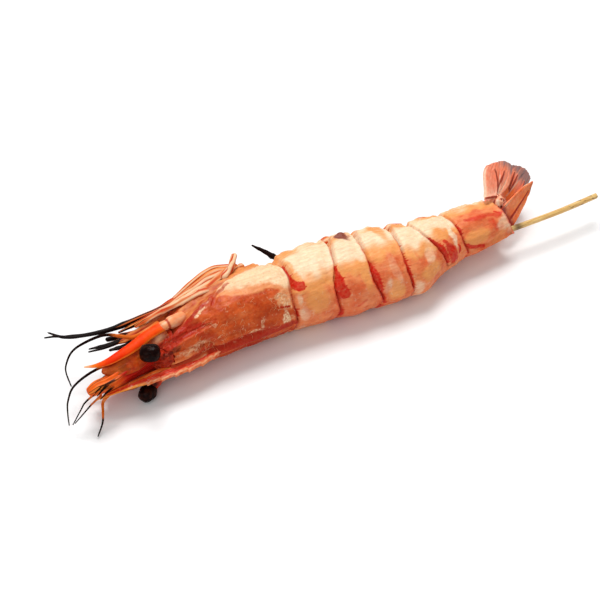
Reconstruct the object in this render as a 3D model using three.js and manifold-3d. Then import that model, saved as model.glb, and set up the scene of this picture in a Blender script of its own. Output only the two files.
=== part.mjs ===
// A grilled tiger prawn on a bamboo skewer, lying on its left side.
// Millimetres, +Z up. The body runs along X with the head at -X and the tail at +X. Its back is
// turned towards -Y, its belly and legs towards +Y, and its left flank rests on the table.
import * as THREE from 'three';
import Module from 'manifold-3d';
import { mergeVertices } from 'three/addons/utils/BufferGeometryUtils.js';

const wasm = await Module();
wasm.setup();

// ---- driving dimensions ----
const axisHeight = 12.4;      // body axis above the table
const backTilt = 9;           // degrees the back leans below level
const shellThickness = 1.0;
const fitGap = 0.5;           // clear space between one piece and the next
const shellLap = 3.0;         // how far each ring of shell slides over the next one
const facetStep = 2.1;        // how deep the overlapped front of a ring lies

const rostrumTip = -90.3;     // x of the tip of the rostrum
const rostrumRoot = -38;      // x where its crest leaves the back
const rostrumTeeth = 6;
const toothFrom = -71;         // x where the first tooth starts
const toothTo = -38;
const carapaceFront = -61;

// Rear edge of the carapace and of rings 1 to 6 along x: on the back, on the shoulder halfway
// round, on the flank, and at the lower corner.
const rearEdges = [
  [-6.5, -7.2, -4.0, -5.0],
  [11.5, 10.5, 16.0, 20.5],
  [30.0, 26.8, 29.0, 32.0],
  [43.4, 42.0, 44.2, 47.0],
  [63.0, 60.4, 56.4, 55.0],
  [75.0, 73.0, 72.6, 71.5],
  [100.0, 98.0, 97.0, 96.2],
];

const skewerRadius = 1.2;
const skewerStart = -32;      // its hidden end, inside the thorax
const skewerEnd = 146.5;
const skewerDorsal = 3.2;     // how far it lies towards the back from the body axis

// Body outline at stations along x: middle of the section, height above it towards the back,
// depth below it towards the belly, half width from flank to flank.
const outline = [
  [-64, 2.5, 6.5, 6.5, 6.0],
  [-56, 1.0, 9.0, 10.0, 9.2],
  [-46, -1.6, 11.4, 12.6, 11.6],
  [-32, -3.8, 13.6, 14.8, 13.1],
  [-14, -4.6, 14.6, 15.8, 13.5],
  [2, -5.0, 15.4, 16.4, 13.3],
  [12, -5.2, 17.2, 16.6, 13.1],
  [24, -4.0, 17.6, 16.6, 13.0],
  [40, -2.2, 17.3, 16.2, 12.3],
  [50, -1.0, 16.2, 15.4, 11.4],
  [59, -2.0, 14.0, 13.4, 10.4],
  [68, -3.0, 11.8, 11.4, 9.2],
  [79, -3.6, 10.8, 10.4, 8.2],
  [88, -3.6, 10.0, 9.8, 7.6],
  [103, -3.9, 8.6, 8.8, 6.9],
];

// ---- the body's own directions ----
const tilt = THREE.MathUtils.degToRad(backTilt);
const toRight = new THREE.Vector3(0, -Math.sin(tilt), Math.cos(tilt));
const toBack = new THREE.Vector3(0, -Math.cos(tilt), -Math.sin(tilt));

// A point given along the body, towards its right flank and towards its back.
function at(x, right, back) {
  return new THREE.Vector3(x, 0, axisHeight)
    .addScaledVector(toRight, right)
    .addScaledVector(toBack, back);
}

const clamp01 = (t) => Math.min(1, Math.max(0, t));
const mix = (a, b, t) => a + (b - a) * t;
const ease = (t) => { const k = clamp01(t); return k * k * (3 - 2 * k); };
const bulge = (t) => Math.sin(Math.PI * clamp01(t));
const power = (t, p) => Math.sign(t) * Math.pow(Math.abs(t), p);

// Smooth curve through rows of [position, value, ...] (cubic with averaged slopes).
function through(rows, column = 1) {
  const slope = (i) => {
    const a = rows[Math.max(0, i - 1)], b = rows[Math.min(rows.length - 1, i + 1)];
    return (b[column] - a[column]) / (b[0] - a[0]);
  };
  return (position) => {
    let i = 0;
    while (i < rows.length - 2 && position > rows[i + 1][0]) i++;
    const width = rows[i + 1][0] - rows[i][0];
    const t = clamp01((position - rows[i][0]) / width);
    const t2 = t * t, t3 = t2 * t;
    return rows[i][column] * (2 * t3 - 3 * t2 + 1) + slope(i) * width * (t3 - 2 * t2 + t)
      + rows[i + 1][column] * (3 * t2 - 2 * t3) + slope(i + 1) * width * (t3 - t2);
  };
}

const middle = through(outline, 1);
const rise = through(outline, 2);
const depth = through(outline, 3);
const halfWidth = through(outline, 4);

// A point on the body at angle theta from the back (90 degrees is the right flank), sunk by inset.
function skin(x, theta, inset = 0) {
  const c = Math.cos(theta), s = Math.sin(theta);
  const keel = mix(1.14, 1.04, ease((x + 6) / 12));
  const right = (halfWidth(x) - inset) * power(s, c > 0 ? keel : 0.92);
  const back = middle(x) + ((c > 0 ? rise(x) : depth(x)) - inset) * power(c, 0.94);
  return at(x, right, back);
}

// ---- mesh builders ----
function solid(points, faces) {
  const geometry = new THREE.BufferGeometry();
  const flat = points.flatMap((p) => [p.x, p.y, Math.max(p.z, 0)]);
  geometry.setAttribute('position', new THREE.Float32BufferAttribute(flat, 3));
  let volume = 0;
  for (const [a, b, c] of faces) {
    volume += points[a].dot(new THREE.Vector3().crossVectors(points[b], points[c]));
  }
  geometry.setIndex(faces.flatMap(([a, b, c]) => (volume < 0 ? [a, c, b] : [a, b, c])));
  geometry.computeVertexNormals();
  return geometry;
}

// A closed sheet between an outer and an inner surface, both given over u and v from 0 to 1.
function sheet(nu, nv, outer, inner) {
  const points = [], faces = [];
  const index = (side, i, j) => (side * (nu + 1) + i) * (nv + 1) + j;
  for (const surface of [outer, inner]) {
    for (let i = 0; i <= nu; i++) {
      for (let j = 0; j <= nv; j++) points.push(surface(i / nu, j / nv));
    }
  }
  const quad = (a, b, c, d) => faces.push([a, b, c], [a, c, d]);
  for (let i = 0; i < nu; i++) {
    for (let j = 0; j < nv; j++) {
      quad(index(0, i, j), index(0, i, j + 1), index(0, i + 1, j + 1), index(0, i + 1, j));
      quad(index(1, i, j), index(1, i + 1, j), index(1, i + 1, j + 1), index(1, i, j + 1));
    }
  }
  for (let i = 0; i < nu; i++) {
    quad(index(0, i, 0), index(0, i + 1, 0), index(1, i + 1, 0), index(1, i, 0));
    quad(index(0, i + 1, nv), index(0, i, nv), index(1, i, nv), index(1, i + 1, nv));
  }
  for (let j = 0; j < nv; j++) {
    quad(index(0, 0, j + 1), index(0, 0, j), index(1, 0, j), index(1, 0, j + 1));
    quad(index(0, nu, j), index(0, nu, j + 1), index(1, nu, j + 1), index(1, nu, j));
  }
  return solid(points, faces);
}

// A closed skin over a row of rings, each with the same number of points.
function loft(rings) {
  const count = rings[0].length;
  const points = rings.flat(), faces = [];
  for (let i = 0; i + 1 < rings.length; i++) {
    for (let j = 0; j < count; j++) {
      const a = i * count + j, b = i * count + (j + 1) % count;
      faces.push([a, b, b + count], [a, b + count, a + count]);
    }
  }
  for (const [ring, first] of [[rings[0], 0], [rings.at(-1), (rings.length - 1) * count]]) {
    const hub = points.length;
    points.push(ring.reduce((sum, p) => sum.add(p), new THREE.Vector3()).divideScalar(count));
    for (let j = 0; j < count; j++) {
      const a = first + j, b = first + (j + 1) % count;
      faces.push(first === 0 ? [hub, b, a] : [hub, a, b]);
    }
  }
  return solid(points, faces);
}

// A round or flattened limb along a smooth curve through stops of [x, right, back, radius].
function limb(stops, { sides = 6, steps = 10, flat = 1 } = {}) {
  const path = new THREE.CatmullRomCurve3(stops.map(([x, r, b]) => at(x, r, b)), false, 'centripetal');
  const frames = path.computeFrenetFrames(steps, false);
  const radius = through(stops.map((stop, i) => [i / (stops.length - 1), stop[3]]));
  const rings = [];
  for (let i = 0; i <= steps; i++) {
    const centre = path.getPoint(i / steps);
    const reach = Math.max(radius(i / steps), 0.2);
    rings.push(Array.from({ length: sides }, (_, j) => {
      const angle = (j / sides) * 2 * Math.PI;
      return centre.clone()
        .addScaledVector(frames.normals[i], reach * Math.cos(angle))
        .addScaledVector(frames.binormals[i], reach * flat * Math.sin(angle));
    }));
  }
  return loft(rings);
}

// A leaf-shaped blade from a root to a tip, cupped across its width.
// Lean moves it off its centre line, end is the share of the width left at its tip, blunt how
// late it narrows, slant how far one corner of the tip leads, and shear how far one corner of the root does.
function blade({ root, tip, across, width, thickness, taper = 0.5, point = 0, cup = 0, ridge = 0,
  lean = 0, end = 0.37, blunt = 5, slant = 0, shear = 0 }) {
  const from = at(...root), to = at(...tip);
  const side = at(...across).sub(at(0, 0, 0)).normalize();
  const along = to.clone().sub(from);
  side.addScaledVector(along, -side.dot(along) / along.lengthSq()).normalize();
  const face = new THREE.Vector3().crossVectors(along, side).normalize();
  const surface = (lift) => (u, v) => {
    const w = 2 * v - 1;
    const half = (width / 2) * mix(taper, 1, ease(u * 1.6)) * (1 - point * u)
      * Math.sqrt(1 - (1 - end * end) * u ** blunt);
    const reach = u * (1 - 0.12 * w * w * u * u) + w * (slant * u * u + shear * (1 - u) ** 2);
    return from.clone().addScaledVector(along, reach).addScaledVector(side, (w + lean) * half)
      .addScaledVector(face, cup * w * w * half + ridge * Math.exp(-12 * w * w) + lift);
  };
  return sheet(7, 4, surface(thickness / 2), surface(-thickness / 2));
}

// ---- booleans ----
function toManifold(geometry) {
  const bare = geometry.clone();
  bare.deleteAttribute('normal');
  bare.deleteAttribute('uv');
  const merged = mergeVertices(bare, 1e-4);
  return new wasm.Manifold(new wasm.Mesh({
    numProp: 3,
    vertProperties: new Float32Array(merged.attributes.position.array),
    triVerts: new Uint32Array(merged.index.array),
  }));
}

function fromManifold(body) {
  const mesh = body.getMesh();
  const geometry = new THREE.BufferGeometry();
  geometry.setAttribute('position', new THREE.BufferAttribute(mesh.vertProperties, 3));
  geometry.setIndex(new THREE.BufferAttribute(mesh.triVerts, 1));
  geometry.computeVertexNormals();
  return geometry;
}

const join = (a, b) => fromManifold(toManifold(a).add(toManifold(b)));
const cut = (a, b) => fromManifold(toManifold(a).subtract(toManifold(b)));

// Rear edge of shell piece n at turn from the back (1 is the flank, 1.5 the lower corner).
function rearEdge(n, turn) {
  const [back, shoulder, flank, corner] = rearEdges[n];
  return through([[0, back], [0.5, shoulder], [1, flank], [1.5, corner]])(Math.min(turn, 1.5));
}

// ---- shell of the head: carapace and rostrum, one piece ----
const carapaceMargin = through([
  [-61, 3.6], [-52, 0.0], [-44, -3.4], [-35, -7.2], [-30, -10.2], [-22, -12.8], [-15, -13.4], [-9, -12.4],
  [4, -9.5],
]);

function marginAngle(x, back) {
  const drop = (middle(x) - back) / (back < middle(x) ? depth(x) : rise(x));
  return Math.PI / 2 + Math.asin(Math.max(-0.97, Math.min(0.97, drop)));
}

function carapaceShell(u, v, inset) {
  const w = 2 * v - 1;
  const front = carapaceFront + 3 * bulge(Math.abs(w) * 1.1) - 2 * Math.exp(-((w / 0.12) ** 2));
  const rear = rearEdge(0, Math.abs(w) * 1.15) - 4 * Math.abs(w) ** 7;
  const x = mix(front, rear, u);
  const theta = w * marginAngle(x, carapaceMargin(x));
  const neck = 0.7 * Math.exp(-(((x + 40 + 14 * Math.abs(w)) / 3) ** 2));
  const keel = 1.3 * Math.exp(-((theta / 0.16) ** 2)) * ease((-8 - x) / 26);
  return skin(x, theta, inset + neck - keel);
}

function rostrumBlade() {
  const crest = through([[rostrumTip, 10.7], [-78, 11.2], [-60, 12.6], [-48, 12.2], [rostrumRoot, 9.6]]);
  const keel = through([[rostrumTip, 10.3], [-78, 8.6], [-64, 7.6], [-57, 8.6], [-48, 9.0],
    [rostrumRoot, 9.0]]);
  const surface = (sign) => (u, v) => {
    const x = mix(rostrumTip, rostrumRoot, u);
    const along = (x - toothFrom) / (toothTo - toothFrom);
    const tooth = along >= 0 && along < 1 ? 1 - (along * rostrumTeeth + 0.02) % 1 : 0;
    const top = crest(x) + 1.1 * tooth * (1 - 0.3 * u);
    const thick = mix(0.5, 3.4, ease(u)) * (0.35 + 0.65 * bulge(0.1 + 0.8 * v));
    return at(x, sign * thick / 2, mix(keel(x), top, v));
  };
  const stepsPerTooth = 4 * rostrumTeeth / (toothTo - toothFrom);
  return sheet(Math.round((rostrumRoot - rostrumTip) * stepsPerTooth), 4, surface(1), surface(-1));
}

// ---- flesh: the thorax with the roots of the legs, and the tail muscle ----
function thoraxFlesh(grown = 0) {
  const rings = [];
  for (let i = 0; i <= 14; i++) {
    const x = mix(-62, -11, i / 14);
    const end = 2.2 * Math.max(0, 1 - i) + 1.6 * Math.max(0, i - 13);
    rings.push(Array.from({ length: 18 }, (_, j) => {
      const theta = (j / 18) * 2 * Math.PI;
      const under = ease((-Math.cos(theta) - 0.55) / 0.3);
      const lump = 0.8 * under * Math.sin(x * 0.55);
      return skin(x, theta, mix(shellThickness + fitGap + 1.0, -0.6, under) - lump + end - grown);
    }));
  }
  return loft(rings);
}

function tailFlesh(grown = 0) {
  const rings = [];
  for (let i = 0; i <= 20; i++) {
    const x = mix(-10.4, 97, i / 20);
    const end = 2 * Math.max(0, 1 - i) + 1.2 * Math.max(0, i - 19);
    rings.push(Array.from({ length: 18 }, (_, j) => {
      const theta = (j / 18) * 2 * Math.PI;
      const under = ease((-Math.cos(theta) - 0.86) / 0.1);
      const lump = 0.5 * under * Math.sin(x * 0.45);
      const deep = facetStep + shellThickness + fitGap + 0.2;
      return skin(x, theta, mix(deep, 3.2, under) - lump + end - grown);
    }));
  }
  return loft(rings);
}

// ---- shell of the tail: six overlapping rings, open below ----
const ringReach = [134, 138, 136, 134, 138, 146];    // degrees round from the back to the lower edge
const ringCorner = [3.0, 4.0, 3.5, 3.0, 2.5, 1.5];   // how far the lower corner is rounded off

function ringShell(n, grown = 0) {
  const reach = ringReach[n];
  const surface = (sink) => (u, v) => {
    const w = 2 * v - 1;
    const turn = Math.abs(w) * reach / 90;
    const rounding = ringCorner[n] * Math.abs(w) ** 7;
    const start = rearEdge(n, turn) - shellLap + rounding;
    const end = rearEdge(n + 1, turn) - rounding + grown;
    const x = mix(start, end, u);
    const lapped = 1 - ease((x - start - shellLap - 0.3) / 1.6);
    const crown = 0.8 * bulge((x - start - shellLap) / (end - start - shellLap));
    return skin(x, w * THREE.MathUtils.degToRad(reach), facetStep * lapped - crown + sink);
  };
  return sheet(7, 16, surface(-grown), surface(shellThickness + grown));
}

// ---- eyes, feelers and legs ----
function eyeball(x, right, back, size) {
  const ball = new THREE.SphereGeometry(size, 12, 8);
  ball.scale(1.08, 1, 0.92);
  const centre = at(x, right, back);
  return ball.translate(centre.x, centre.y, centre.z);
}

const mirrored = (stops) => stops.map(([x, right, back, radius]) => [x, -right, back, radius]);

// Limbs as stops of [x, right, back, radius] from the root to the tip. The second and third
// pairs reach furthest; the fifth right leg has snapped and stands up.
const legs = {
  leg_right_1: [[-34, 9.4, -12.8, 1.5], [-41, 9.4, -12.0, 1.3], [-50, 9.0, -11.4, 1.1],
    [-58, 7.6, -10.9, 1.0], [-66, 5.6, -10.4, 0.6]],
  leg_right_2: [[-27, 8.0, -17.2, 1.5], [-34, 7.8, -16.0, 1.4], [-43, 6.8, -14.2, 1.2],
    [-58, 5.6, -12.8, 1.0], [-72, 3.2, -12.4, 0.4]],
  leg_right_3: [[-21, 6.4, -20.4, 2.0], [-27, 6.0, -22.4, 1.6], [-36, 5.8, -20.0, 1.4],
    [-50, 4.4, -16.0, 1.2], [-62, 4.0, -15.2, 1.1], [-76, 2.6, -15.8, 0.9], [-90, 1.0, -20.6, 0.6],
    [-95.2, 1.0, -25.6, 0.3]],
  leg_right_4: [[-14, 5.2, -21.4, 1.6], [-22, 3.2, -21.4, 1.3], [-30, 2.6, -20.8, 1.1],
    [-46, 2.2, -17.8, 0.9], [-60, 1.4, -17.6, 0.5]],
  leg_right_5: [[-27, 9.8, -14.8, 1.4], [-21.6, 10.4, -18.6, 1.3], [-16.8, 10.0, -24.6, 1.1]],
  leg_left_5: [[-12.2, -7.4, -18.4, 1.5], [-6.6, -7.2, -22.4, 1.2], [1, -6.4, -23.0, 0.7]],
  mouthpart_right: [[-50, 3.4, -12.4, 2.0], [-60, 2.8, -10.4, 1.7], [-71, 1.9, -9.4, 1.1],
    [-78, 1.1, -10.4, 0.7], [-84.2, 0.4, -12.0, 0.3]],
  mouthpart_left: [[-50, -3.4, -12.4, 2.0], [-60, -2.8, -10.4, 1.7], [-70, -2.3, -9.4, 1.0],
    [-77, -1.8, -9.8, 0.5]],
};
legs.leg_left_1 = mirrored(legs.leg_right_1);
legs.leg_left_2 = mirrored(legs.leg_right_2.slice(0, 5));
legs.leg_left_3 = mirrored(legs.leg_right_3.slice(0, 6)).map(([x, r, b, size]) => [x, r - 0.2, b, size]);
legs.leg_left_4 = mirrored(legs.leg_right_4);

// The second prong of a limb whose end is split.
const forks = {
  leg_right_3: [[-89, 1.0, -20.2, 0.6], [-93, 1.0, -22.4, 0.45], [-97.2, 1.0, -23.6, 0.3]],
  mouthpart_right: [[-72, 1.9, -9.2, 0.7], [-79, 1.3, -9.4, 0.5], [-85, 1.0, -10.4, 0.3]],
};

const headLimbs = {
  eyestalk_right: [[-61.2, 4.0, 4.3, 1.2], [-62.6, 6.4, 5.6, 1.6], [-64.8, 8.6, 6.3, 1.8]],
  eyestalk_left: [[-60.2, -3.2, 4.0, 1.5], [-63.8, -5.0, 6.8, 1.6], [-67.2, -6.1, 8.8, 1.6]],
  antenna_base_right: [[-47, 8.8, -5.8, 2.0], [-51.5, 9.4, -4.0, 2.3], [-56.4, 9.6, -3.4, 2.0]],
  antennule_right: [[-60, 3.0, 0.6, 2.1], [-72, 2.4, 3.4, 2.0], [-80, 2.2, 5.9, 1.9], [-86, 3.2, 7.6, 2.3],
    [-89.5, 3.6, 8.1, 2.3], [-92.6, 3.1, 8.8, 1.4]],
  antennule_left: [[-60, -3.2, 0.6, 2.1], [-72, -3.2, 2.2, 2.2], [-82, -3.0, 3.6, 2.1], [-89.4, -2.6, 4.8, 1.4]],
};

headLimbs.antenna_base_left = mirrored(headLimbs.antenna_base_right);

const whiskers = {
  antenna_right: [[-57.6, 8.6, -6.6, 0.7], [-63, 8.7, -4.9, 0.75], [-69.2, 8.2, -4.5, 0.75],
    [-73.4, 8.4, -6.9, 0.7], [-76.4, 8.3, -9.1, 0.6], [-80, 7.9, -10.4, 0.6], [-87.2, 5.6, -11.3, 0.5],
    [-91, 4.0, -10.8, 0.45], [-93.8, 2.4, -8.7, 0.4], [-95.4, 0.0, -6.5, 0.35], [-95.4, -4.0, -1.6, 0.3]],
  antenna_left: [[-57.6, -8.8, -6.3, 0.75], [-72.8, -5.4, -5.6, 0.6], [-84.4, -3.0, -4.4, 0.55],
    [-94.7, -3.0, -0.8, 0.5], [-99.1, -4.0, 4.1, 0.4], [-100.7, -6.0, 7.7, 0.35], [-101.6, -9.0, 10.9, 0.3]],
  feeler_1: [[-92.9, 1.4, 9.6, 0.45], [-94.6, 0.0, 9.9, 0.4], [-96.6, -2.0, 10.8, 0.35],
    [-100.7, -7.0, 12.4, 0.3]],
  feeler_2: [[-89.2, -1.0, 9.4, 0.4], [-92.3, -1.6, 10.5, 0.4], [-94.9, -3.0, 11.3, 0.35],
    [-100.0, -6.0, 12.8, 0.3]],
  feeler_3: [[-85.6, -1.0, 9.4, 0.6], [-88.0, -2.4, 10.8, 0.55], [-89.3, -4.2, 13.6, 0.45],
    [-90.8, -6.2, 16.6, 0.4], [-94.2, -8.6, 20.0, 0.35]],
};

const charredTip = [[1.2, 2.1, -20.7, 1.3], [-1.6, 2.0, -26.5, 0.9], [-5.5, 3.0, -31.6, 0.35]];

const blades = {
  scale_right: { root: [-57.6, 9.6, -3.6], tip: [-86, 7.3, 2.6], across: [0, -0.42, 0.9], width: 9.0,
    thickness: 0.9, taper: 0.55, lean: 1, end: 0.5 },
  scale_left: { root: [-57.6, -9.6, -3.6], tip: [-85, -8.0, 2.4], across: [0, 0.42, 0.9], width: 9.0,
    thickness: 0.9, taper: 0.55, lean: 1, end: 0.5 },
  telson: { root: [99.6, -0.1, -1.5], tip: [124.0, 2.1, -14.4], across: [0.32, -0.85, 0.42], width: 12.2,
    thickness: 1.2, point: 0.6, taper: 1, cup: -0.12, ridge: 0.5, end: 0.3, shear: 0.04 },
  uropod_right_outer: { root: [96.9, 7.8, -8.8], tip: [110.5, 12.7, -22.4], across: [0.66, -0.6, 0.44],
    width: 14.6, thickness: 0.9, taper: 0.5, cup: 0.08, ridge: 0.4, end: 0.82, blunt: 8, slant: 0.2,
    shear: 0.135 },
  uropod_right_inner: { root: [102.0, 1.3, -8.8], tip: [123.8, 3.8, -22.0], across: [0.43, -0.76, 0.49],
    width: 17.0, thickness: 0.9, taper: 0.4, cup: 0.08, ridge: 0.4, end: 0.85, blunt: 8, slant: 0.156,
    shear: 0.08 },
  uropod_left_outer: { root: [97.6, -7.4, -11.8], tip: [108.8, -11.6, -24.0], across: [0.67, 0.6, 0.44],
    width: 10.8, thickness: 0.9, taper: 0.6, cup: 0.1, ridge: 0.4, end: 0.6, blunt: 7, slant: 0.16 },
  uropod_left_inner: { root: [101.2, -5.2, -8.8], tip: [119.7, -6.6, -19.2], across: [0.4, 0.75, 0.5],
    width: 8.2, thickness: 0.9, taper: 0.45, cup: 0.1, ridge: 0.4, end: 0.6, blunt: 7, slant: 0.1 },
};

// The short joint on either side that carries one pair of fan blades.
const fanBases = {
  fan_base_right: [[97.6, 3.4, -6.2, 2.6], [99.8, 4.8, -8.4, 2.8], [102.6, 5.2, -10.6, 1.8]],
  fan_base_left: [[97.6, -3.4, -6.4, 2.6], [99.6, -5.6, -9.2, 2.8], [102.0, -7.0, -11.6, 1.6]],
};

// The stiff outer margin of each antennal scale, which ends in a spine.
const scaleMargins = {
  scale_right: [[-57.2, 9.7, -3.6, 1.9], [-64, 9.3, -2.2, 1.9], [-71, 8.9, 0.2, 1.8], [-77, 8.4, 1.4, 1.6],
    [-82, 7.9, 2.0, 1.3], [-86.5, 7.3, 1.2, 0.8], [-90.4, 6.8, -0.4, 0.3]],
};
scaleMargins.scale_left = mirrored(scaleMargins.scale_right);

// Two rows of folded swimming limbs under the tail, each trailing back from its ring.
function swimmeret(n, side) {
  const x = mix(rearEdges[n][2], rearEdges[n + 1][2], 0.2);
  const low = middle(x) - depth(x) + 1.7;
  const size = mix(1.6, 1.1, n / 4);
  return limb([[x - 1, side * 3.2, low + 1.3, size], [x + 4.5, side * 3.8, low - 0.7, size],
    [x + 10, side * 3.6, low + 0.2, 0.5 * size]], { sides: 6, steps: 4, flat: 0.6 });
}

function skewerRod(extra = 0) {
  const bend = [[skewerStart, 0], [60, 0], [122, 0.8], [skewerEnd, -0.2]];
  return limb(bend.map(([x, bow]) => [x, 0, skewerDorsal + bow, skewerRadius + extra]),
    { sides: 14, steps: 6 });
}

// ---- the whole prawn ----
const paint = {
  carapace: [0xb8452c, 0.42], ring: [0xe59a6b, 0.45], flesh: [0xe8a860, 0.5], tailFan: [0xd9735a, 0.45],
  eye: [0x170b0d, 0.2], head: [0xc9521f, 0.45], leg: [0xd9793a, 0.5], char: [0x120c0b, 0.6],
  skewer: [0xc99a4e, 0.6],
};

const prawn = new THREE.Group();
prawn.name = 'grilled_tiger_prawn';

function add(name, geometry, [color, roughness]) {
  const mesh = new THREE.Mesh(geometry, new THREE.MeshStandardMaterial({ color, roughness, metalness: 0 }));
  mesh.name = name;
  prawn.add(mesh);
}

const bore = skewerRod(0.3);
add('carapace', join(
  sheet(14, 20, (u, v) => carapaceShell(u, v, 0), (u, v) => carapaceShell(u, v, shellThickness)),
  rostrumBlade(),
), paint.carapace);
add('thorax', cut(thoraxFlesh(0), bore), paint.flesh);
add('tail_flesh', cut(tailFlesh(), bore), paint.flesh);
for (let n = 0; n < 6; n++) add(`ring_${n + 1}`, n === 5 ? cut(ringShell(n), bore) : ringShell(n), paint.ring);
for (const [name, shape] of Object.entries(blades)) {
  const margin = scaleMargins[name];
  add(name, margin ? join(blade(shape), limb(margin, { sides: 8, steps: 9 })) : blade(shape),
    margin ? paint.head : paint.tailFan);
}
for (const [name, stops] of Object.entries(fanBases)) {
  const around = Object.values(blades).map((shape) => blade({ ...shape, thickness: 1.5 }));
  const room = [ringShell(5, 0.25), tailFlesh(0.2), ...around].reduce(join);
  add(name, cut(limb(stops, { sides: 8, steps: 4 }), room), paint.tailFan);
}
const rootClearance = thoraxFlesh(0.35);
for (const [name, stops] of Object.entries(headLimbs)) {
  add(name, cut(limb(stops, { sides: 8, steps: 7 }), rootClearance), paint.head);
}
add('eye_right', eyeball(-67.3, 11.0, 6.9, 3.4), paint.eye);
add('eye_left', eyeball(-70.3, -7.4, 10.6, 3.4), paint.eye);
for (const [name, stops] of Object.entries(legs)) {
  const whole = limb(stops, { sides: 6, steps: stops.length + 2 });
  const fork = forks[name] && limb(forks[name], { sides: 6, steps: 4 });
  add(name, cut(fork ? join(whole, fork) : whole, rootClearance), paint.leg);
}
for (const [name, stops] of Object.entries(whiskers)) {
  add(name, limb(stops, { sides: 4, steps: 10 }), paint.char);
}
const tailClearance = tailFlesh(0.2);
for (let n = 0; n < 5; n++) {
  add(`swimmeret_right_${n + 1}`, cut(swimmeret(n, 1), tailClearance), paint.leg);
  add(`swimmeret_left_${n + 1}`, cut(swimmeret(n, -1), tailClearance), paint.leg);
}
add('charred_tip', limb(charredTip, { sides: 6, steps: 5 }), paint.char);
add('skewer', skewerRod(), paint.skewer);

// The origin is the middle of the bounding box's underside.
const bounds = new THREE.Box3().setFromObject(prawn);
const centre = bounds.getCenter(new THREE.Vector3());
prawn.position.set(-centre.x, -centre.y, -bounds.min.z);
prawn.updateMatrixWorld(true);

export default prawn;
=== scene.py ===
import random
from math import acos, asin, atan2, cos, exp, hypot, pi, radians, degrees, sin, sqrt
import bmesh
import bpy
from mathutils import Euler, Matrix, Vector, noise


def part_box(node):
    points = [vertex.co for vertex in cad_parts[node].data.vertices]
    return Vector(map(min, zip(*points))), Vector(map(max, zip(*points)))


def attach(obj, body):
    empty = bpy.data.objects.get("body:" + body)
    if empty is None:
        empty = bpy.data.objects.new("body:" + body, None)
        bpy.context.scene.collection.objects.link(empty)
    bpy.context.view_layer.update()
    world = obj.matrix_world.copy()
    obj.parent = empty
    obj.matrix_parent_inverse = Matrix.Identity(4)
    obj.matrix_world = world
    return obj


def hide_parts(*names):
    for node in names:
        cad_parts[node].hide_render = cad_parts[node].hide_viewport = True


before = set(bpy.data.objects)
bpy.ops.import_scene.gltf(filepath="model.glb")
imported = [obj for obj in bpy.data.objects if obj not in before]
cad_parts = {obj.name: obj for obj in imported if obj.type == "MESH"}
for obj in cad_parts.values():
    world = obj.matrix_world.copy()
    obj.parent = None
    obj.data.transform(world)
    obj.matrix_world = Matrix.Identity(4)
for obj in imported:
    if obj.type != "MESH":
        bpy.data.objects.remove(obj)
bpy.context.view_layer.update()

# A grilled tiger prawn on a bamboo skewer, lying on its left side.
# Shapes are worked out in millimetres along the body and placed in metres.

# Camera.
shot = {"target": (-0.02234, -0.00614, 0.0121), "distance": 0.480, "tilt": 48, "turn": -29, "lens": 72.9}
facing = Euler((radians(shot["tilt"]), 0, radians(shot["turn"])))
camera = bpy.data.objects.new("camera", bpy.data.cameras.new("camera"))
camera.data.lens = shot["lens"]
camera.data.sensor_width = 36
camera.data.clip_start = 0.01
camera.rotation_euler = facing
camera.location = Vector(shot["target"]) + facing.to_matrix() @ Vector((0, 0, shot["distance"]))
bpy.context.scene.collection.objects.link(camera)
bpy.context.scene.camera = camera
bpy.context.scene.view_settings.view_transform = "Standard"


# Small sums.
def clamp(t, low=0.0, high=1.0):
    return min(high, max(low, t))


def mix(a, b, t):
    return a + (b - a) * t


def ease(t):
    k = clamp(t)
    return k * k * (3 - 2 * k)


def bulge(t):
    return sin(pi * clamp(t))


def hump(t):
    return exp(-t * t)


def power(t, p):
    return abs(t) ** p * (1 if t >= 0 else -1)


def rough(x, y, z=0.0):
    return noise.noise(Vector((x, y, z)))


# Smooth curve through rows of (position, value, ...).
def through(rows, column=1):
    def slope(i):
        a, b = rows[max(0, i - 1)], rows[min(len(rows) - 1, i + 1)]
        return (b[column] - a[column]) / (b[0] - a[0])

    def value(position):
        i = 0
        while i < len(rows) - 2 and position > rows[i + 1][0]:
            i += 1
        width = rows[i + 1][0] - rows[i][0]
        t = clamp((position - rows[i][0]) / width)
        t2, t3 = t * t, t * t * t
        return (rows[i][column] * (2 * t3 - 3 * t2 + 1) + slope(i) * width * (t3 - 2 * t2 + t)
                + rows[i + 1][column] * (3 * t2 - 2 * t3) + slope(i + 1) * width * (t3 - t2))

    return value


# The body's own directions.
millimetre = 0.001
lie = {"axisHeight": 12.4, "backTilt": 9, "rightEye": (-67.3, 11.0, 6.9)}
toRight = Vector((0, -sin(radians(lie["backTilt"])), cos(radians(lie["backTilt"]))))
toBack = Vector((0, -cos(radians(lie["backTilt"])), -sin(radians(lie["backTilt"]))))


# A point given in millimetres along the body, towards its right flank and towards its back.
def fromAxis(x, right, back):
    return (Vector((x, 0, lie["axisHeight"])) + toRight * right + toBack * back) * millimetre


eyeLow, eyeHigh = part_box("eye_right")
shift = (eyeLow + eyeHigh) / 2 - fromAxis(*lie["rightEye"])


def place(x, right, back):
    point = fromAxis(x, right, back) + shift
    point.z = max(point.z, 0.0)
    return point


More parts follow.
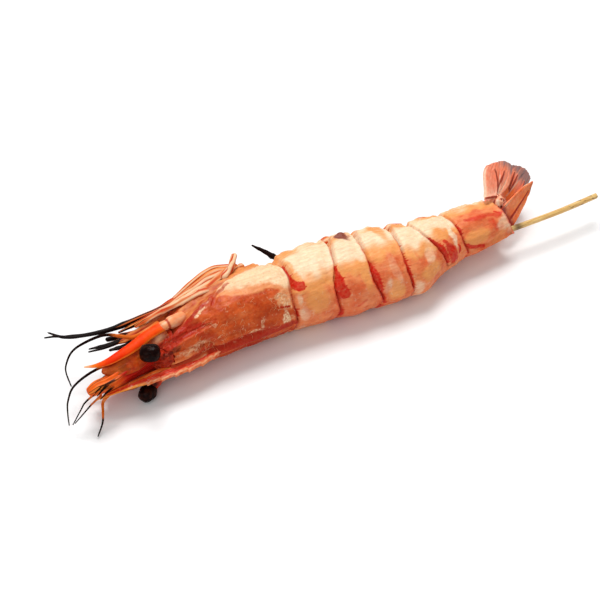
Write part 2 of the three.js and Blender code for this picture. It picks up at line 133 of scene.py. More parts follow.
# Body outline along x: middle of the section, height towards the back, depth towards the
# belly, half width.
outline = [
    (-64, 2.5, 6.5, 6.5, 6.0), (-56, 1.0, 9.0, 10.0, 9.2), (-46, -1.6, 11.4, 12.6, 11.6),
    (-32, -3.8, 13.6, 14.8, 13.1), (-14, -4.6, 14.6, 15.8, 13.5), (2, -5.0, 15.4, 16.4, 13.3),
    (12, -5.2, 17.2, 16.6, 13.1), (24, -4.0, 17.6, 16.6, 13.0), (40, -2.2, 17.3, 16.2, 12.3),
    (50, -1.0, 16.2, 15.4, 11.4), (59, -2.0, 14.0, 13.4, 10.4), (68, -3.0, 11.8, 11.4, 9.2),
    (79, -3.6, 10.8, 10.4, 8.2), (88, -3.6, 10.0, 9.8, 7.6), (103, -3.9, 8.6, 8.8, 6.9),
]
middle, rise, depth, halfWidth = (through(outline, column) for column in (1, 2, 3, 4))

# Rear edge of the carapace and of rings 1 to 6: on the back, shoulder, flank and lower corner.
rearEdges = [
    (-6.5, -7.2, -4.0, -5.0), (11.5, 10.5, 16.0, 20.5), (30.0, 26.8, 29.0, 32.0),
    (43.4, 42.0, 44.2, 47.0), (63.0, 60.4, 56.4, 55.0), (75.0, 73.0, 72.6, 71.5), (100.0, 98.0, 97.0, 96.2),
]
edgeCurves = [through([(t, x) for t, x in zip((0, 0.5, 1, 1.5), row)]) for row in rearEdges]


def rearEdge(n, turn):
    return edgeCurves[n](min(turn, 1.5))


# Powers that make the body's section narrower or fuller than an ellipse. The one for the back
# changes from head to tail between two places along the body.
fullness = {"headBack": 1.14, "tailBack": 1.04, "changes": (-6, 6), "belly": 0.92, "height": 0.94}


# A point on the body at an angle from the back (90 degrees is the right flank), raised by lift.
def skin(x, theta, lift=0.0):
    c, s = cos(theta), sin(theta)
    first, last = fullness["changes"]
    onBack = mix(fullness["headBack"], fullness["tailBack"], ease((x - first) / (last - first)))
    right = (halfWidth(x) + lift) * power(s, onBack if c > 0 else fullness["belly"])
    back = middle(x) + ((rise(x) if c > 0 else depth(x)) + lift) * power(c, fullness["height"])
    return place(x, right, back)


# Materials.
def colour(text):
    parts = [int(text[i:i + 2], 16) / 255 for i in (1, 3, 5)]
    return (*[c / 12.92 if c < 0.04045 else ((c + 0.055) / 1.055) ** 2.4 for c in parts], 1)


# A shader node whose inputs are set, or linked where a socket is given.
def addNode(tree, kind, inputs=None, **settings):
    made = tree.nodes.new(kind)
    for key, value in settings.items():
        setattr(made, key, value)
    for key, value in (inputs or {}).items():
        if isinstance(value, bpy.types.NodeSocket):
            tree.links.new(value, made.inputs[key])
        else:
            made.inputs[key].default_value = value
    return made


def blend(tree, factor, a, b, how="MIX"):
    colours = {0: factor, 6: a, 7: b}
    return addNode(tree, "ShaderNodeMix", colours, data_type="RGBA", blend_type=how).outputs[2]


def calc(tree, how, a, b):
    return addNode(tree, "ShaderNodeMath", {0: a, 1: b}, operation=how).outputs[0]


def times(tree, a, b):
    return calc(tree, "MULTIPLY", a, b)


def plus(tree, a, b):
    return calc(tree, "ADD", a, b)


def spread(tree, value, low, high, first=0.0, last=1.0):
    return addNode(tree, "ShaderNodeMapRange", {"Value": value, "From Min": low, "From Max": high,
                   "To Min": first, "To Max": last}, interpolation_type="SMOOTHSTEP").outputs[0]


def grain(tree, where, scale, detail=3.0, roughness=0.55):
    return addNode(tree, "ShaderNodeTexNoise", {"Vector": where, "Scale": scale, "Detail": detail,
                   "Roughness": roughness})


def newMaterial(name):
    material = bpy.data.materials.new(name)
    material.use_nodes = True
    tree = material.node_tree
    return material, tree, tree.nodes["Principled BSDF"]


# The finish of shell, flesh, legs and whiskers. Painted marks: red channel pale, which also carries painted
# highlights; green channel red and blue channel scorched, both also carrying painted shade; alpha yellowed;
# wear shows fine pale scratches.
def cookedFinish(name, look):
    material, tree, shader = newMaterial(name)
    where = addNode(tree, "ShaderNodeTexCoord").outputs["Object"]
    paint = addNode(tree, "ShaderNodeAttribute", attribute_name="paint")
    marks = addNode(tree, "ShaderNodeSeparateColor", {"Color": paint.outputs["Color"]})
    wear = addNode(tree, "ShaderNodeAttribute", attribute_name="wear").outputs["Fac"]
    drawn = addNode(tree, "ShaderNodeMapping", {"Vector": where, "Scale": look["stretch"]}).outputs[0]
    blotch = grain(tree, where, look["blotch"], 4).outputs[0]
    mottle = grain(tree, where, look["mottle"], 5, 0.65).outputs[0]
    fibre = grain(tree, drawn, look["fibre"], 4, 0.6).outputs[0]
    uneven = plus(tree, times(tree, mottle, 0.5), times(tree, fibre, 0.5))

    def masked(mark, softness, push=0.3):  # a painted mark with a broken edge
        jagged = times(tree, calc(tree, "SUBTRACT", uneven, 0.5), push * look["push"])
        return spread(tree, plus(tree, mark, jagged), 0.5 - softness, 0.5 + softness)

    # Colour, from the lowest layer up.
    base = blend(tree, spread(tree, blotch, 0.36, 0.64), colour(look["deep"]), colour(look["light"]))
    base = blend(tree, masked(paint.outputs["Alpha"], 0.5), base, colour(look["warm"]))
    base = blend(tree, masked(marks.outputs[0], 0.5, 0.26), base, colour(look["pale"]))
    base = blend(tree, masked(marks.outputs[1], 0.45, 0.36), base, colour(look["red"]))
    spots = addNode(tree, "ShaderNodeTexVoronoi", {"Vector": where, "Scale": look["speck"]})
    speck = times(tree, spread(tree, spots.outputs["Distance"], 0.3, 0.12), look["speckAmount"])
    base = blend(tree, speck, base, colour(look["red"]))
    base = blend(tree, spread(tree, mottle, 0.35, 0.7, 0.0, look["veil"]), base, colour(look["dust"]))
    shade = {channel: spread(tree, fibre, 0.3, 0.7, low, 1.06) for channel, low in enumerate(look["low"])}
    base = blend(tree, 1.0, base, addNode(tree, "ShaderNodeCombineColor", shade).outputs[0], "MULTIPLY")

    # Fine scratches along the edges of bent cells, shown here and there.
    drift = grain(tree, where, look["scratch"] * 0.9, 2).outputs["Color"]
    sway = addNode(tree, "ShaderNodeVectorMath", {0: drift, 1: look["wander"]}, operation="MULTIPLY")
    bent = addNode(tree, "ShaderNodeVectorMath", {0: where, 1: sway.outputs[0]}, operation="ADD").outputs[0]
    cracks = addNode(tree, "ShaderNodeTexVoronoi", {"Vector": bent, "Scale": look["scratch"]},
                     feature="DISTANCE_TO_EDGE").outputs["Distance"]
    gate = spread(tree, grain(tree, where, look["scratch"] * 1.3, 2).outputs[0], 0.54, 0.66)
    line = times(tree, spread(tree, cracks, 0.07, 0.02), times(tree, gate, wear))
    base = blend(tree, line, base, colour(look["scratchColour"]))
    base = blend(tree, masked(marks.outputs[2], 0.35, 0.25), base, colour(look["scorch"]))

    tree.links.new(base, shader.inputs["Base Color"])
    tree.links.new(spread(tree, mottle, 0.3, 0.7, *look["roughness"]), shader.inputs["Roughness"])
    shader.inputs["Specular IOR Level"].default_value = look["shine"]
    shader.inputs["Coat Weight"].default_value = look["coat"]
    shader.inputs["Coat Roughness"].default_value = look["coatRoughness"]
    shader.inputs["Subsurface Weight"].default_value = look["glow"]
    shader.inputs["Subsurface Radius"].default_value = look["glowReach"]
    shader.inputs["Subsurface Scale"].default_value = 1.0
    height = plus(tree, uneven, times(tree, line, 0.35))
    bump = addNode(tree, "ShaderNodeBump", {"Height": height, "Strength": look["bump"],
                   "Distance": look["bumpDepth"]})
    tree.links.new(bump.outputs[0], shader.inputs["Normal"])
    return material


plainLook = {
    "deep": "#a93c12", "light": "#c65a24", "pale": "#fbdfb8", "red": "#b81606", "warm": "#ee9f52",
    "scorch": "#140806", "dust": "#eaa678", "scratchColour": "#f4cfae",
    "blotch": 160, "mottle": 900, "fibre": 700, "stretch": (0.22, 1, 1), "speck": 700, "speckAmount": 0.12,
    "veil": 0.1, "push": 2.4, "low": (0.92, 0.82, 0.76), "scratch": 330, "wander": (0.004, 0.004, 0.004),
    "roughness": (0.34, 0.52), "shine": 0.13, "coat": 0.05, "coatRoughness": 0.22,
    "glow": 0.08, "glowReach": (0.0016, 0.0006, 0.0003), "bump": 0.5, "bumpDepth": 0.00035,
}
finishes = {
    "carapace": cookedFinish("cookedCarapace", plainLook | {
        "deep": "#b83c0a", "light": "#d65c24", "pale": "#f6d6ac", "red": "#b01a00", "warm": "#ec9a62",
        "dust": "#dc8452", "scratchColour": "#e0a07a", "speckAmount": 0.2, "veil": 0.16}),
    # Rings: the scorch colour also paints the shade in the crevice where each ring slips under the one in
    # front.
    "ring": cookedFinish("cookedRingShell", plainLook | {
        "deep": "#e0683a", "light": "#f2905a", "pale": "#fbe0bc", "red": "#d01802", "warm": "#f3a25c",
        "scorch": "#8a4636", "dust": "#ee9c6c", "fibre": 1100, "speckAmount": 0.05, "veil": 0.22,
        "push": 1.5, "low": (0.94, 0.85, 0.8), "bump": 0.8}),
    "flesh": cookedFinish("cookedFlesh", plainLook | {
        "deep": "#c8581c", "light": "#e08642", "pale": "#f6d6a6", "red": "#b83408", "warm": "#eaa258",
        "fibre": 900, "speckAmount": 0.0, "glow": 0.12}),
    "fan": cookedFinish("cookedTailFan", plainLook | {
        "deep": "#f8805e", "light": "#ffa586", "pale": "#fed8ba", "red": "#962a16", "warm": "#f6843e",
        "scorch": "#9c7a76", "stretch": (1, 1, 0.3), "speckAmount": 0.05, "push": 1.8,
        "low": (0.95, 0.88, 0.86), "glow": 0.12}),
    "telson": cookedFinish("cookedTelson", plainLook | {
        "deep": "#f66e38", "light": "#ff935f", "pale": "#fddaba", "red": "#9a1a0a", "warm": "#ee8a50",
        "scorch": "#7c625c", "stretch": (1, 1, 0.3), "speckAmount": 0.05, "push": 1.8,
        "low": (0.95, 0.88, 0.86), "glow": 0.12}),
    "horn": cookedFinish("cookedHorn", plainLook | {
        "deep": "#d84410", "light": "#f06e22", "pale": "#fbbc8c", "red": "#e02a08", "warm": "#f59a34",
        "scorch": "#3a0e04", "stretch": (0.16, 1, 1), "speckAmount": 0.0, "low": (0.98, 0.9, 0.84),
        "coat": 0.1}),
    "band": cookedFinish("cookedBand", plainLook | {
        "deep": "#f03e04", "light": "#fb5810", "pale": "#fcb988", "red": "#ea0400", "warm": "#fb8c28",
        "scorch": "#3a0c04", "stretch": (0.16, 1, 1), "speckAmount": 0.0, "veil": 0.0, "push": 0.9,
        "low": (0.95, 0.88, 0.86), "shine": 0.06, "coat": 0.0, "bump": 0.25}),
    "blade": cookedFinish("cookedBlade", plainLook | {
        "deep": "#982002", "light": "#be3e06", "pale": "#dca47c", "red": "#9a0e00", "warm": "#bc5612",
        "scorch": "#54300e", "blotch": 420, "speckAmount": 0.0, "veil": 0.05, "coat": 0.04, "glow": 0.1}),
    "brush": cookedFinish("cookedBrush", plainLook | {
        "deep": "#d83a02", "light": "#f4661a", "pale": "#f9a060", "red": "#b81604", "warm": "#f2842a",
        "scorch": "#2a0803", "stretch": (0.16, 1, 1), "speckAmount": 0.0, "veil": 0.0, "coat": 0.0}),
    "leg": cookedFinish("cookedLegs", plainLook | {
        "deep": "#cc4e12", "light": "#e47c3a", "pale": "#f0cba4", "red": "#c83a08", "scorch": "#120705",
        "stretch": (0.2, 1, 1), "speckAmount": 0.0, "push": 1.8, "shine": 0.08, "coat": 0.0}),
    "joint": cookedFinish("cookedJoint", plainLook | {
        "deep": "#f2844e", "light": "#fca674", "pale": "#fdd2ae", "red": "#b83410", "warm": "#f69c60",
        "stretch": (0.4, 1, 1), "speckAmount": 0.0, "low": (0.97, 0.92, 0.9)}),
    "char": cookedFinish("charred", plainLook | {
        "deep": "#a8360c", "light": "#d0500f", "pale": "#f0a468", "red": "#8a1c06", "warm": "#e9791c",
        "scorch": "#1a0905", "speckAmount": 0.0, "roughness": (0.45, 0.7), "shine": 0.03, "coat": 0.0,
        "glow": 0.0}),
}


eyeLook = {"dark": "#140605", "brown": "#34140a", "wrinkle": 330, "roughness": (0.12, 0.3), "bend": 1.3,
           "shine": 0.1, "bump": 0.25, "bumpDepth": 0.0005}


def eyeFinish(look):
    material, tree, shader = newMaterial("eyeBlack")
    where = addNode(tree, "ShaderNodeTexCoord").outputs["Object"]
    wrinkle = grain(tree, where, look["wrinkle"], 3).outputs[0]
    base = blend(tree, spread(tree, wrinkle, 0.45, 0.75), colour(look["dark"]), colour(look["brown"]))
    tree.links.new(base, shader.inputs["Base Color"])
    tree.links.new(spread(tree, wrinkle, 0.3, 0.7, *look["roughness"]), shader.inputs["Roughness"])
    shader.inputs["IOR"].default_value = look["bend"]
    shader.inputs["Specular IOR Level"].default_value = look["shine"]
    bump = addNode(tree, "ShaderNodeBump", {"Height": wrinkle, "Strength": look["bump"],
                   "Distance": look["bumpDepth"]})
    tree.links.new(bump.outputs[0], shader.inputs["Normal"])
    return material


bambooLook = {"deep": "#cc9344", "light": "#f3d08a", "cloud": "#e3b262", "burnt": "#40230f",
              "stretch": (0.05, 1, 1), "strand": 3200, "clouds": 220, "roughness": (0.45, 0.7), "bump": 0.5,
              "bumpDepth": 0.0003}


def bambooFinish(look):
    material, tree, shader = newMaterial("splitBamboo")
    where = addNode(tree, "ShaderNodeTexCoord").outputs["Object"]
    paint = addNode(tree, "ShaderNodeAttribute", attribute_name="paint")
    marks = addNode(tree, "ShaderNodeSeparateColor", {"Color": paint.outputs["Color"]})
    drawn = addNode(tree, "ShaderNodeMapping", {"Vector": where, "Scale": look["stretch"]}).outputs[0]
    strand = grain(tree, drawn, look["strand"], 4).outputs[0]
    cloud = grain(tree, where, look["clouds"], 3).outputs[0]
    base = blend(tree, spread(tree, strand, 0.35, 0.65), colour(look["deep"]), colour(look["light"]))
    base = blend(tree, spread(tree, cloud, 0.35, 0.7, 0, 0.55), base, colour(look["cloud"]))
    # Dark marks: the flecks and the band just past where the skewer leaves the tail.
    base = blend(tree, marks.outputs[2], base, colour(look["burnt"]))
    tree.links.new(base, shader.inputs["Base Color"])
    tree.links.new(spread(tree, strand, 0.3, 0.7, *look["roughness"]), shader.inputs["Roughness"])
    bump = addNode(tree, "ShaderNodeBump", {"Height": strand, "Strength": look["bump"],
                   "Distance": look["bumpDepth"]})
    tree.links.new(bump.outputs[0], shader.inputs["Normal"])
    return material


finishes["eye"] = eyeFinish(eyeLook)
finishes["bamboo"] = bambooFinish(bambooLook)
print("materials made")


# Making pieces.
plain = (0, 0, 0, 0)


def pieceName(node):
    first, *rest = node.split("_")
    return first + "".join(part.capitalize() for part in rest) if rest else first + "Piece"


# An empty form with layers for the paint and the wear.
def newForm():
    form = bmesh.new()
    return form, form.verts.layers.float_color.new("paint"), form.verts.layers.float.new("wear")


def finishPiece(form, name, finish, nodes, wall=0.0, offset=-1.0):
    for face in form.faces:
        face.smooth = True
    mesh = bpy.data.meshes.new(name)
    form.to_mesh(mesh)
    form.free()
    mesh.materials.append(finishes[finish])
    piece = bpy.data.objects.new(name, mesh)
    bpy.context.scene.collection.objects.link(piece)
    if wall:
        thicken = piece.modifiers.new("wall", "SOLIDIFY")
        thicken.thickness = wall * millimetre
        thicken.offset = offset
    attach(piece, "root")
    if nodes:
        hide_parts(*nodes)
    return piece


# An open sheet over u and v from 0 to 1; shape(u, v) gives a point, its paint and its wear.
def sheetForm(stepsU, stepsV, shape):
    form, paint, wear = newForm()
    bmesh.ops.create_grid(form, x_segments=stepsU, y_segments=stepsV, size=0.5)
    for vertex in form.verts:
        vertex.co, vertex[paint], vertex[wear] = shape(vertex.co.x + 0.5, vertex.co.y + 0.5)
    return form


# A closed round body: u runs from end to end, v round it.
def roundForm(sides, steps, shape):
    form, paint, wear = newForm()
    bmesh.ops.create_uvsphere(form, u_segments=sides, v_segments=steps, radius=1)
    for vertex in form.verts:
        u = acos(clamp(-vertex.co.z, -1, 1)) / pi
        v = atan2(vertex.co.y, vertex.co.x) / (2 * pi)
        vertex.co, vertex[paint], vertex[wear] = shape(u, v)
    bmesh.ops.recalc_face_normals(form, faces=form.faces)
    return form


# Makes an open shell face away from the body's axis.
def faceOut(form):
    form.normal_update()
    total = 0.0
    for face in form.faces:
        centre = face.calc_center_median()
        x = (centre.x - shift.x) / millimetre
        total += face.normal.dot(centre - place(x, 0, middle(x))) * face.calc_area()
    if total < 0:
        bmesh.ops.reverse_faces(form, faces=form.faces)


# How strongly a point at x and turn lies in any of the spots (x, turn, reach in x, reach in turn,
# strength), whose edges wander.
def stain(spots, x, turn, seed=0.0):
    if not spots:
        return 0.0
    wx = x + 1.3 * rough(x * 0.35, turn * 0.06, seed) + 0.6 * rough(x * 1.1, turn * 0.17, seed + 9)
    wt = turn + 6 * rough(x * 0.3, turn * 0.05, seed + 4)
    best = 0.0
    for mx, mt, rx, rt, strength in spots:
        d = hypot((wx - mx) / rx, (wt - mt) / rt)
        if d < 1.5:
            best = max(best, strength * (1 - ease((d - 0.55) / 0.8)))
    return best


degree = 0.24  # millimetres round the body


# Brush strokes: each is rows of (x, turn, half width) and a strength.
def stroke(strokes, x, turn, seed=0.0):
    wx = x + 0.5 * rough(x * 0.5, turn * 0.1, seed) + 0.25 * rough(x * 1.7, turn * 0.4, seed)
    wt = turn + 2.5 * rough(x * 0.4, turn * 0.1, seed + 6)
    best = 0.0
    for rows, strength in strokes:
        for (ax, at, aw), (bx, bt, bw) in zip(rows, rows[1:]):
            px, pt, dx, dt = wx - ax, (wt - at) * degree, bx - ax, (bt - at) * degree
            k = clamp((px * dx + pt * dt) / (dx * dx + dt * dt))
            gap = hypot(px - dx * k, pt - dt * k) / mix(aw, bw, k)
            if gap < 1.4:
                best = max(best, strength * (1 - ease((gap - 0.6) / 0.8)))
    return best


# Bands run round the body: each is rows of (turn, first x, last x), and its rear side is frayed.
def makeBands(bands):
    return [(rows[0][0], rows[-1][0], through(rows, 1), through(rows, 2)) for rows in bands]


def inBands(bands, x, turn, seed=0.0, fray=2.0, soft=0.5):
    best = 0.0
    for low, high, first, last in bands:
        if low - 3 < turn < high + 3:
            jag = fray * max(0, 0.8 * rough(turn * 0.35, seed, 1) + 0.7 * rough(turn * 1.3, seed, 2) - 0.1)
            ends = ease((turn - low + 1.5) / 3) * ease((high - turn + 1.5) / 3)
            across = ease((x - first(turn)) / soft + 0.6) * ease((last(turn) + jag - x) / soft + 0.4)
            best = max(best, ends * across)
    return best


# The turn at which marks are looked up: the far flank repeats the near one from just past the back.
def markTurn(theta):
    turn, seam = degrees(theta), -14
    if turn > seam:
        return turn
    return -turn + 2 * seam * (1 - ease((seam - turn) / 20))


# Shell of the head. Spots and strokes are laid over x and the turn from the back, the flank is cream
# from the turns of creamFrom on, and margin is the lower edge as (x, back).
carapace = {
    "front": -61, "wall": 0.7, "steps": (195, 250),
    "creamFrom": [(-44, 114), (-37, 106), (-31, 94), (-25, 85), (-19, 81), (-14, 79), (-10.5, 70), (-8, 60),
                  (-4, 56)],
    "margin": [(-61, 3.6), (-52, 0.0), (-44, -3.4), (-35, -7.2), (-30, -10.2), (-22, -12.8), (-15, -13.4),
               (-9, -12.4), (4, -9.5)],
    "pale": [(-48, 36, 5, 7, 0.62), (-51, 28, 3, 5, 0.5), (-47.5, 2, 2.6, 10, 0.8),
             (-43, 90, 3.2, 3.4, 0.95), (-25, 17, 3.2, 4.5, 0.75), (-21, 26, 1.2, 8, 0.55),
             (-40, 99, 3, 3.5, 0.8), (-55, 36, 3, 6, 0.4), (-11, 22, 1.2, 12, 0.9), (-53, 94, 4, 3, 0.6),
             (-24.5, 14, 1.0, 3, 0.9), (-27, 20, 1.4, 2, 0.8)],
    "red": [([(-60, 64, 2.4), (-53, 78, 3.0), (-49, 72, 2.6), (-44, 66, 1.4)], 0.8),
            ([(-60, 88, 1.4), (-50, 90, 1.6), (-43, 96, 1.2), (-35, 104, 0.9)], 0.7),
            ([(-60, 6, 2.0), (-50, 16, 1.8), (-43, 21, 1.2)], 0.7),
            ([(-44, 8, 1.4), (-36, 10, 2.4), (-27, 4, 3.4), (-19, 4, 2.6), (-8, 4, 1.4)], 0.85),
            ([(-47, 58, 1.4), (-43, 40, 1.8), (-40, 30, 2.2)], 0.45),
            ([(-37, 92, 0.9), (-34, 104, 0.8), (-27, 112, 0.7)], 0.6),
            ([(-13, 43, 0.35), (-9, 39, 0.3)], 0.9)],
    "scorch": [(-57, 52, 2.6, 8, 0.5), (-59, 36, 2.4, 6, 0.5), (-24, 0, 5, 5, 0.3)],
    "frayed": [(-9.5, 50, 3.4, 15, 1), (-12, 58, 3, 6, 1), (-9, 16, 2, 7, 0.6)],
    "folds": [([(-60, 78, 1.2), (-50, 66, 1.2), (-42, 60, 1.0)], 1), ([(-37, 90, 0.8), (-30, 108, 0.7)], 1),
              ([(-56, 48, 0.8), (-46, 30, 0.7)], 1)],
}
carapaceMargin = through(carapace["margin"])
creamFrom = through(carapace["creamFrom"])


def marginAngle(x, back):
    drop = (middle(x) - back) / (depth(x) if back < middle(x) else rise(x))
    return pi / 2 + asin(clamp(drop, -0.97, 0.97))


def carapaceRear(side, w):
    return rearEdge(0, side * 1.15) - 4 * side ** 7 + 0.35 * rough(w * 9, 1.7)


def carapaceFrayed(x, turn):
    return stain(carapace["frayed"], x, turn, 3)


def carapaceLift(x, theta, fromRear, fromMargin):
    turn = degrees(abs(theta))
    back = ease((-8 - x) / 26)
    lift = -0.7 * hump((x + 40 + 14 * turn / 120) / 2.4) * ease((turn - 8) / 10)  # neck groove
    lift += 1.0 * hump(theta / 0.13) * back  # keel on the back
    lift += back * (-0.75 * hump((turn - 14) / 3.4) + 0.4 * hump((turn - 22) / 3.6)
                    - 0.35 * hump((turn - 29) / 3))  # grooves and a ridge beside it
    lift += -0.9 * hump((turn - 72) / 9) * hump((x + 47) / 6)  # hollow of the cheek
    lift += 0.6 * hump((turn - 58) / 5) * hump((x + 52) / 8)
    lift += -0.5 * stroke(carapace["folds"], x, turn)
    lift += -0.3 * hump((fromRear - 1.9) / 0.6) + 0.15 * hump((fromRear - 0.6) / 0.5)  # rolled rear rim
    lift += -0.2 * hump((fromMargin - 1.6) / 0.7) * ease((x + 50) / 10)
    lift += 0.5 * rough(x * 0.12, turn * 0.05, 2) + 0.24 * rough(x * 0.45, turn * 0.11, 7)
    lift += 0.12 * rough(x * 1.2, turn * 0.3, 5) + 0.05 * rough(x * 3.1, turn * 0.8, 6)
    return lift + 0.35 * carapaceFrayed(x, turn) * rough(x * 2.3, turn * 0.45, 4)


def carapaceShape(u, v):
    w = 2 * v - 1
    side = abs(w)
    front = carapace["front"] + 3 * bulge(side * 1.1) - 2 * hump(w / 0.12) + 0.9 * rough(w * 7, 3.1)
    rear = carapaceRear(side, w)
    x = mix(front, rear, u)
    theta = w * marginAngle(x, carapaceMargin(x) + 0.5 * rough(x * 0.35, 8.8 + w))
    turn = markTurn(theta)
    fromRear = rear - x
    lift = carapaceLift(x, theta, fromRear, (1 - side) * 30)
    seed = 2 if theta > 0 else 60
    grains = rough(x * 1.5, turn * 0.3, 12)
    frayed = carapaceFrayed(x, turn)
    cream = turn - creamFrom(x) + 5 * rough(x * 0.4, turn * 0.06, seed)

    pale = mix(0.6, 1.0, ease((x + 34) / 16)) * ease((cream - 1) / 14)
    pale += stain(carapace["pale"], x, turn, seed) * (0.75 + grains)
    pale += frayed * (0.3 + 0.4 * ease(grains * 3))
    pale -= 0.6 * ease((1.0 - fromRear) / 1.0) * ease((60 - turn) / 20)
    warm = ease((cream + 7) / 8) + 0.4 * ease(rough(x * 0.2, turn * 0.05, 15))
    warm += 0.6 * ease((turn - 118) / 6) * ease((x + 42) / 8)
    warm += 0.55 * ease((-44 - x) / 6) * ease((30 - turn) / 12) + 0.9 * frayed
    red = stroke(carapace["red"], x, turn, seed + 20)
    red += 0.6 * hump((fromRear - 0.3) / 0.5) * ease((86 - turn) / 20)
    red += 0.35 * ease((-43 - x) / 8) * ease((turn - 40) / 14) * ease((98 - turn) / 10)
    scorch = stain(carapace["scorch"], x, turn, seed + 40)
    wear = 0.7 * (0.25 + 0.75 * ease((x + 50) / 8)) * ease((82 - turn) / 14) * ease((turn - 8) / 8)
    return skin(x, theta, lift), (clamp(pale), clamp(red), clamp(scorch), clamp(warm)), clamp(wear)


form = sheetForm(*carapace["steps"], carapaceShape)
faceOut(form)
finishPiece(form, "carapaceShell", "carapace", ["carapace"], carapace["wall"])

# Thin pale fibres of torn skin lie on the shell, in patches, fewer on the left side.
fibres = {"count": 190, "length": (1.4, 5.2), "width": (0.03, 0.075), "thick": 0.05, "leftShare": 0.35,
          "heading": (50, 60), "curl": 1.3, "shade": (0.1, 0.5), "area": (-49, -13, 14, 74), "seed": 7}


def skinFibres(settings):
    form, paint, wear = newForm()
    pick = random.Random(settings["seed"])
    firstX, lastX, firstTurn, lastTurn = settings["area"]
    for count in range(settings["count"]):
        x, turn = pick.uniform(firstX, lastX), pick.uniform(firstTurn, lastTurn)
        flank = -1 if pick.random() < settings["leftShare"] else 1
        if rough(x * 0.13, turn * 0.05, 31 * flank) < -0.12:
            continue
        heading = radians(pick.gauss(*settings["heading"]))
        curl = pick.uniform(-settings["curl"], settings["curl"])
        length = pick.uniform(*settings["length"]) * pick.uniform(0.4, 1)
        width = pick.uniform(*settings["width"])
        shade = pick.uniform(*settings["shade"])
        made = bmesh.ops.create_grid(form, x_segments=7, y_segments=1, size=0.5)
        for vertex in made["verts"]:
            t, across = vertex.co.x + 0.5, vertex.co.y * 2 * width * (bulge(vertex.co.x + 0.5) + 0.08)
            way = heading + curl * t * 2
            fx = x + cos(way) * length * t - sin(way) * across
            ft = turn + (sin(way) * length * t + cos(way) * across) / degree
            theta = flank * radians(ft)
            lift = carapaceLift(fx, theta, 20, 20) + 0.05 + 0.06 * bulge(t)
            vertex.co, vertex[paint], vertex[wear] = skin(fx, theta, lift), (shade, 0, 0, 1), 0
    return form


form = skinFibres(fibres)
faceOut(form)
finishPiece(form, "carapaceFibres", "carapace", [], fibres["thick"], offset=1.0)

# The toothed blade between the eyes.
rostrum = {"tip": -90.3, "root": -36, "thick": (0.5, 3.2), "rim": 0.15,
           "teeth": 6, "toothFrom": -71, "toothTo": -38, "toothHeight": 0.95, "steps": (320, 24),
           "crest": [(-90.3, 10.7), (-78, 11.2), (-60, 12.6), (-48, 12.2), (-36, 9.4)],
           "keel": [(-90.3, 10.3), (-78, 8.6), (-64, 7.6), (-57, 8.2), (-48, 7.6), (-36, 7.0)]}
crestLine = through(rostrum["crest"])
keelLine = through(rostrum["keel"])


def rostrumShape(sign):
    def shape(u, v):
        x = mix(rostrum["tip"], rostrum["root"], u)
        along = (x - rostrum["toothFrom"]) / (rostrum["toothTo"] - rostrum["toothFrom"])
        tooth = 1 - (along * rostrum["teeth"]) % 1 if 0 < along < 1 else 0
        top = crestLine(x) + rostrum["toothHeight"] * tooth ** 2.2 * (1 - 0.4 * u)
        thick = mix(*rostrum["thick"], ease(u)) * (0.3 + 0.7 * bulge(0.1 + 0.8 * v))
        thick -= 0.7 * ease(u * 3) * hump((v - 0.55) / 0.13) * mix(0.4, 1, u)  # groove along the side
        thick += 0.12 * rough(x * 0.8, v * 3, sign)
        front = ease((-68 - x) / 8)
        grooves = hump((v - 0.34) / 0.06) + hump((v - 0.6) / 0.05)

        pale = 0.8 * hump((v - 0.2) / 0.12) * ease((x + 60) / 10)
        pale += 0.7 * hump((v - 0.9) / 0.12) * (1 - front)
        pale += 0.5 * rough(x * 0.6, v * 9, 3)
        warm = 1.2 * hump((v - 0.95) / 0.2) * front + 1.0 * ease((-82 - x) / 5)
        warm += 0.5 * hump((v - 0.25) / 0.12)
        red = 0.95 * hump((v - 0.55) / 0.26) * ease((x + 90) / 6) + 0.5 * rough(x * 0.7, v * 8, 9)
        scorch = 0.42 * grooves * ease((x + 84) / 10) * ease((-44 - x) / 10)
        return place(x, sign * max(thick, rostrum["rim"]) / 2, mix(keelLine(x), top, v)), \
            (clamp(pale), clamp(red), clamp(scorch), clamp(warm)), 0.4
    return shape


# Two side sheets joined along their rims make the closed blade.
def bladeForm(steps, sideShape):
    form, paint, wear = newForm()
    for sign in (1, -1):
        made = bmesh.ops.create_grid(form, x_segments=steps[0], y_segments=steps[1], size=0.5)
        shape = sideShape(sign)
        for vertex in made["verts"]:
            vertex.co, vertex[paint], vertex[wear] = shape(vertex.co.x + 0.5, vertex.co.y + 0.5)
    rims = [edge for edge in form.edges if edge.is_boundary]
    bmesh.ops.bridge_loops(form, edges=rims)
    bmesh.ops.recalc_face_normals(form, faces=form.faces)
    return form


finishPiece(bladeForm(rostrum["steps"], rostrumShape), "rostrumBlade", "horn", ["carapace"])
print("head shell made")

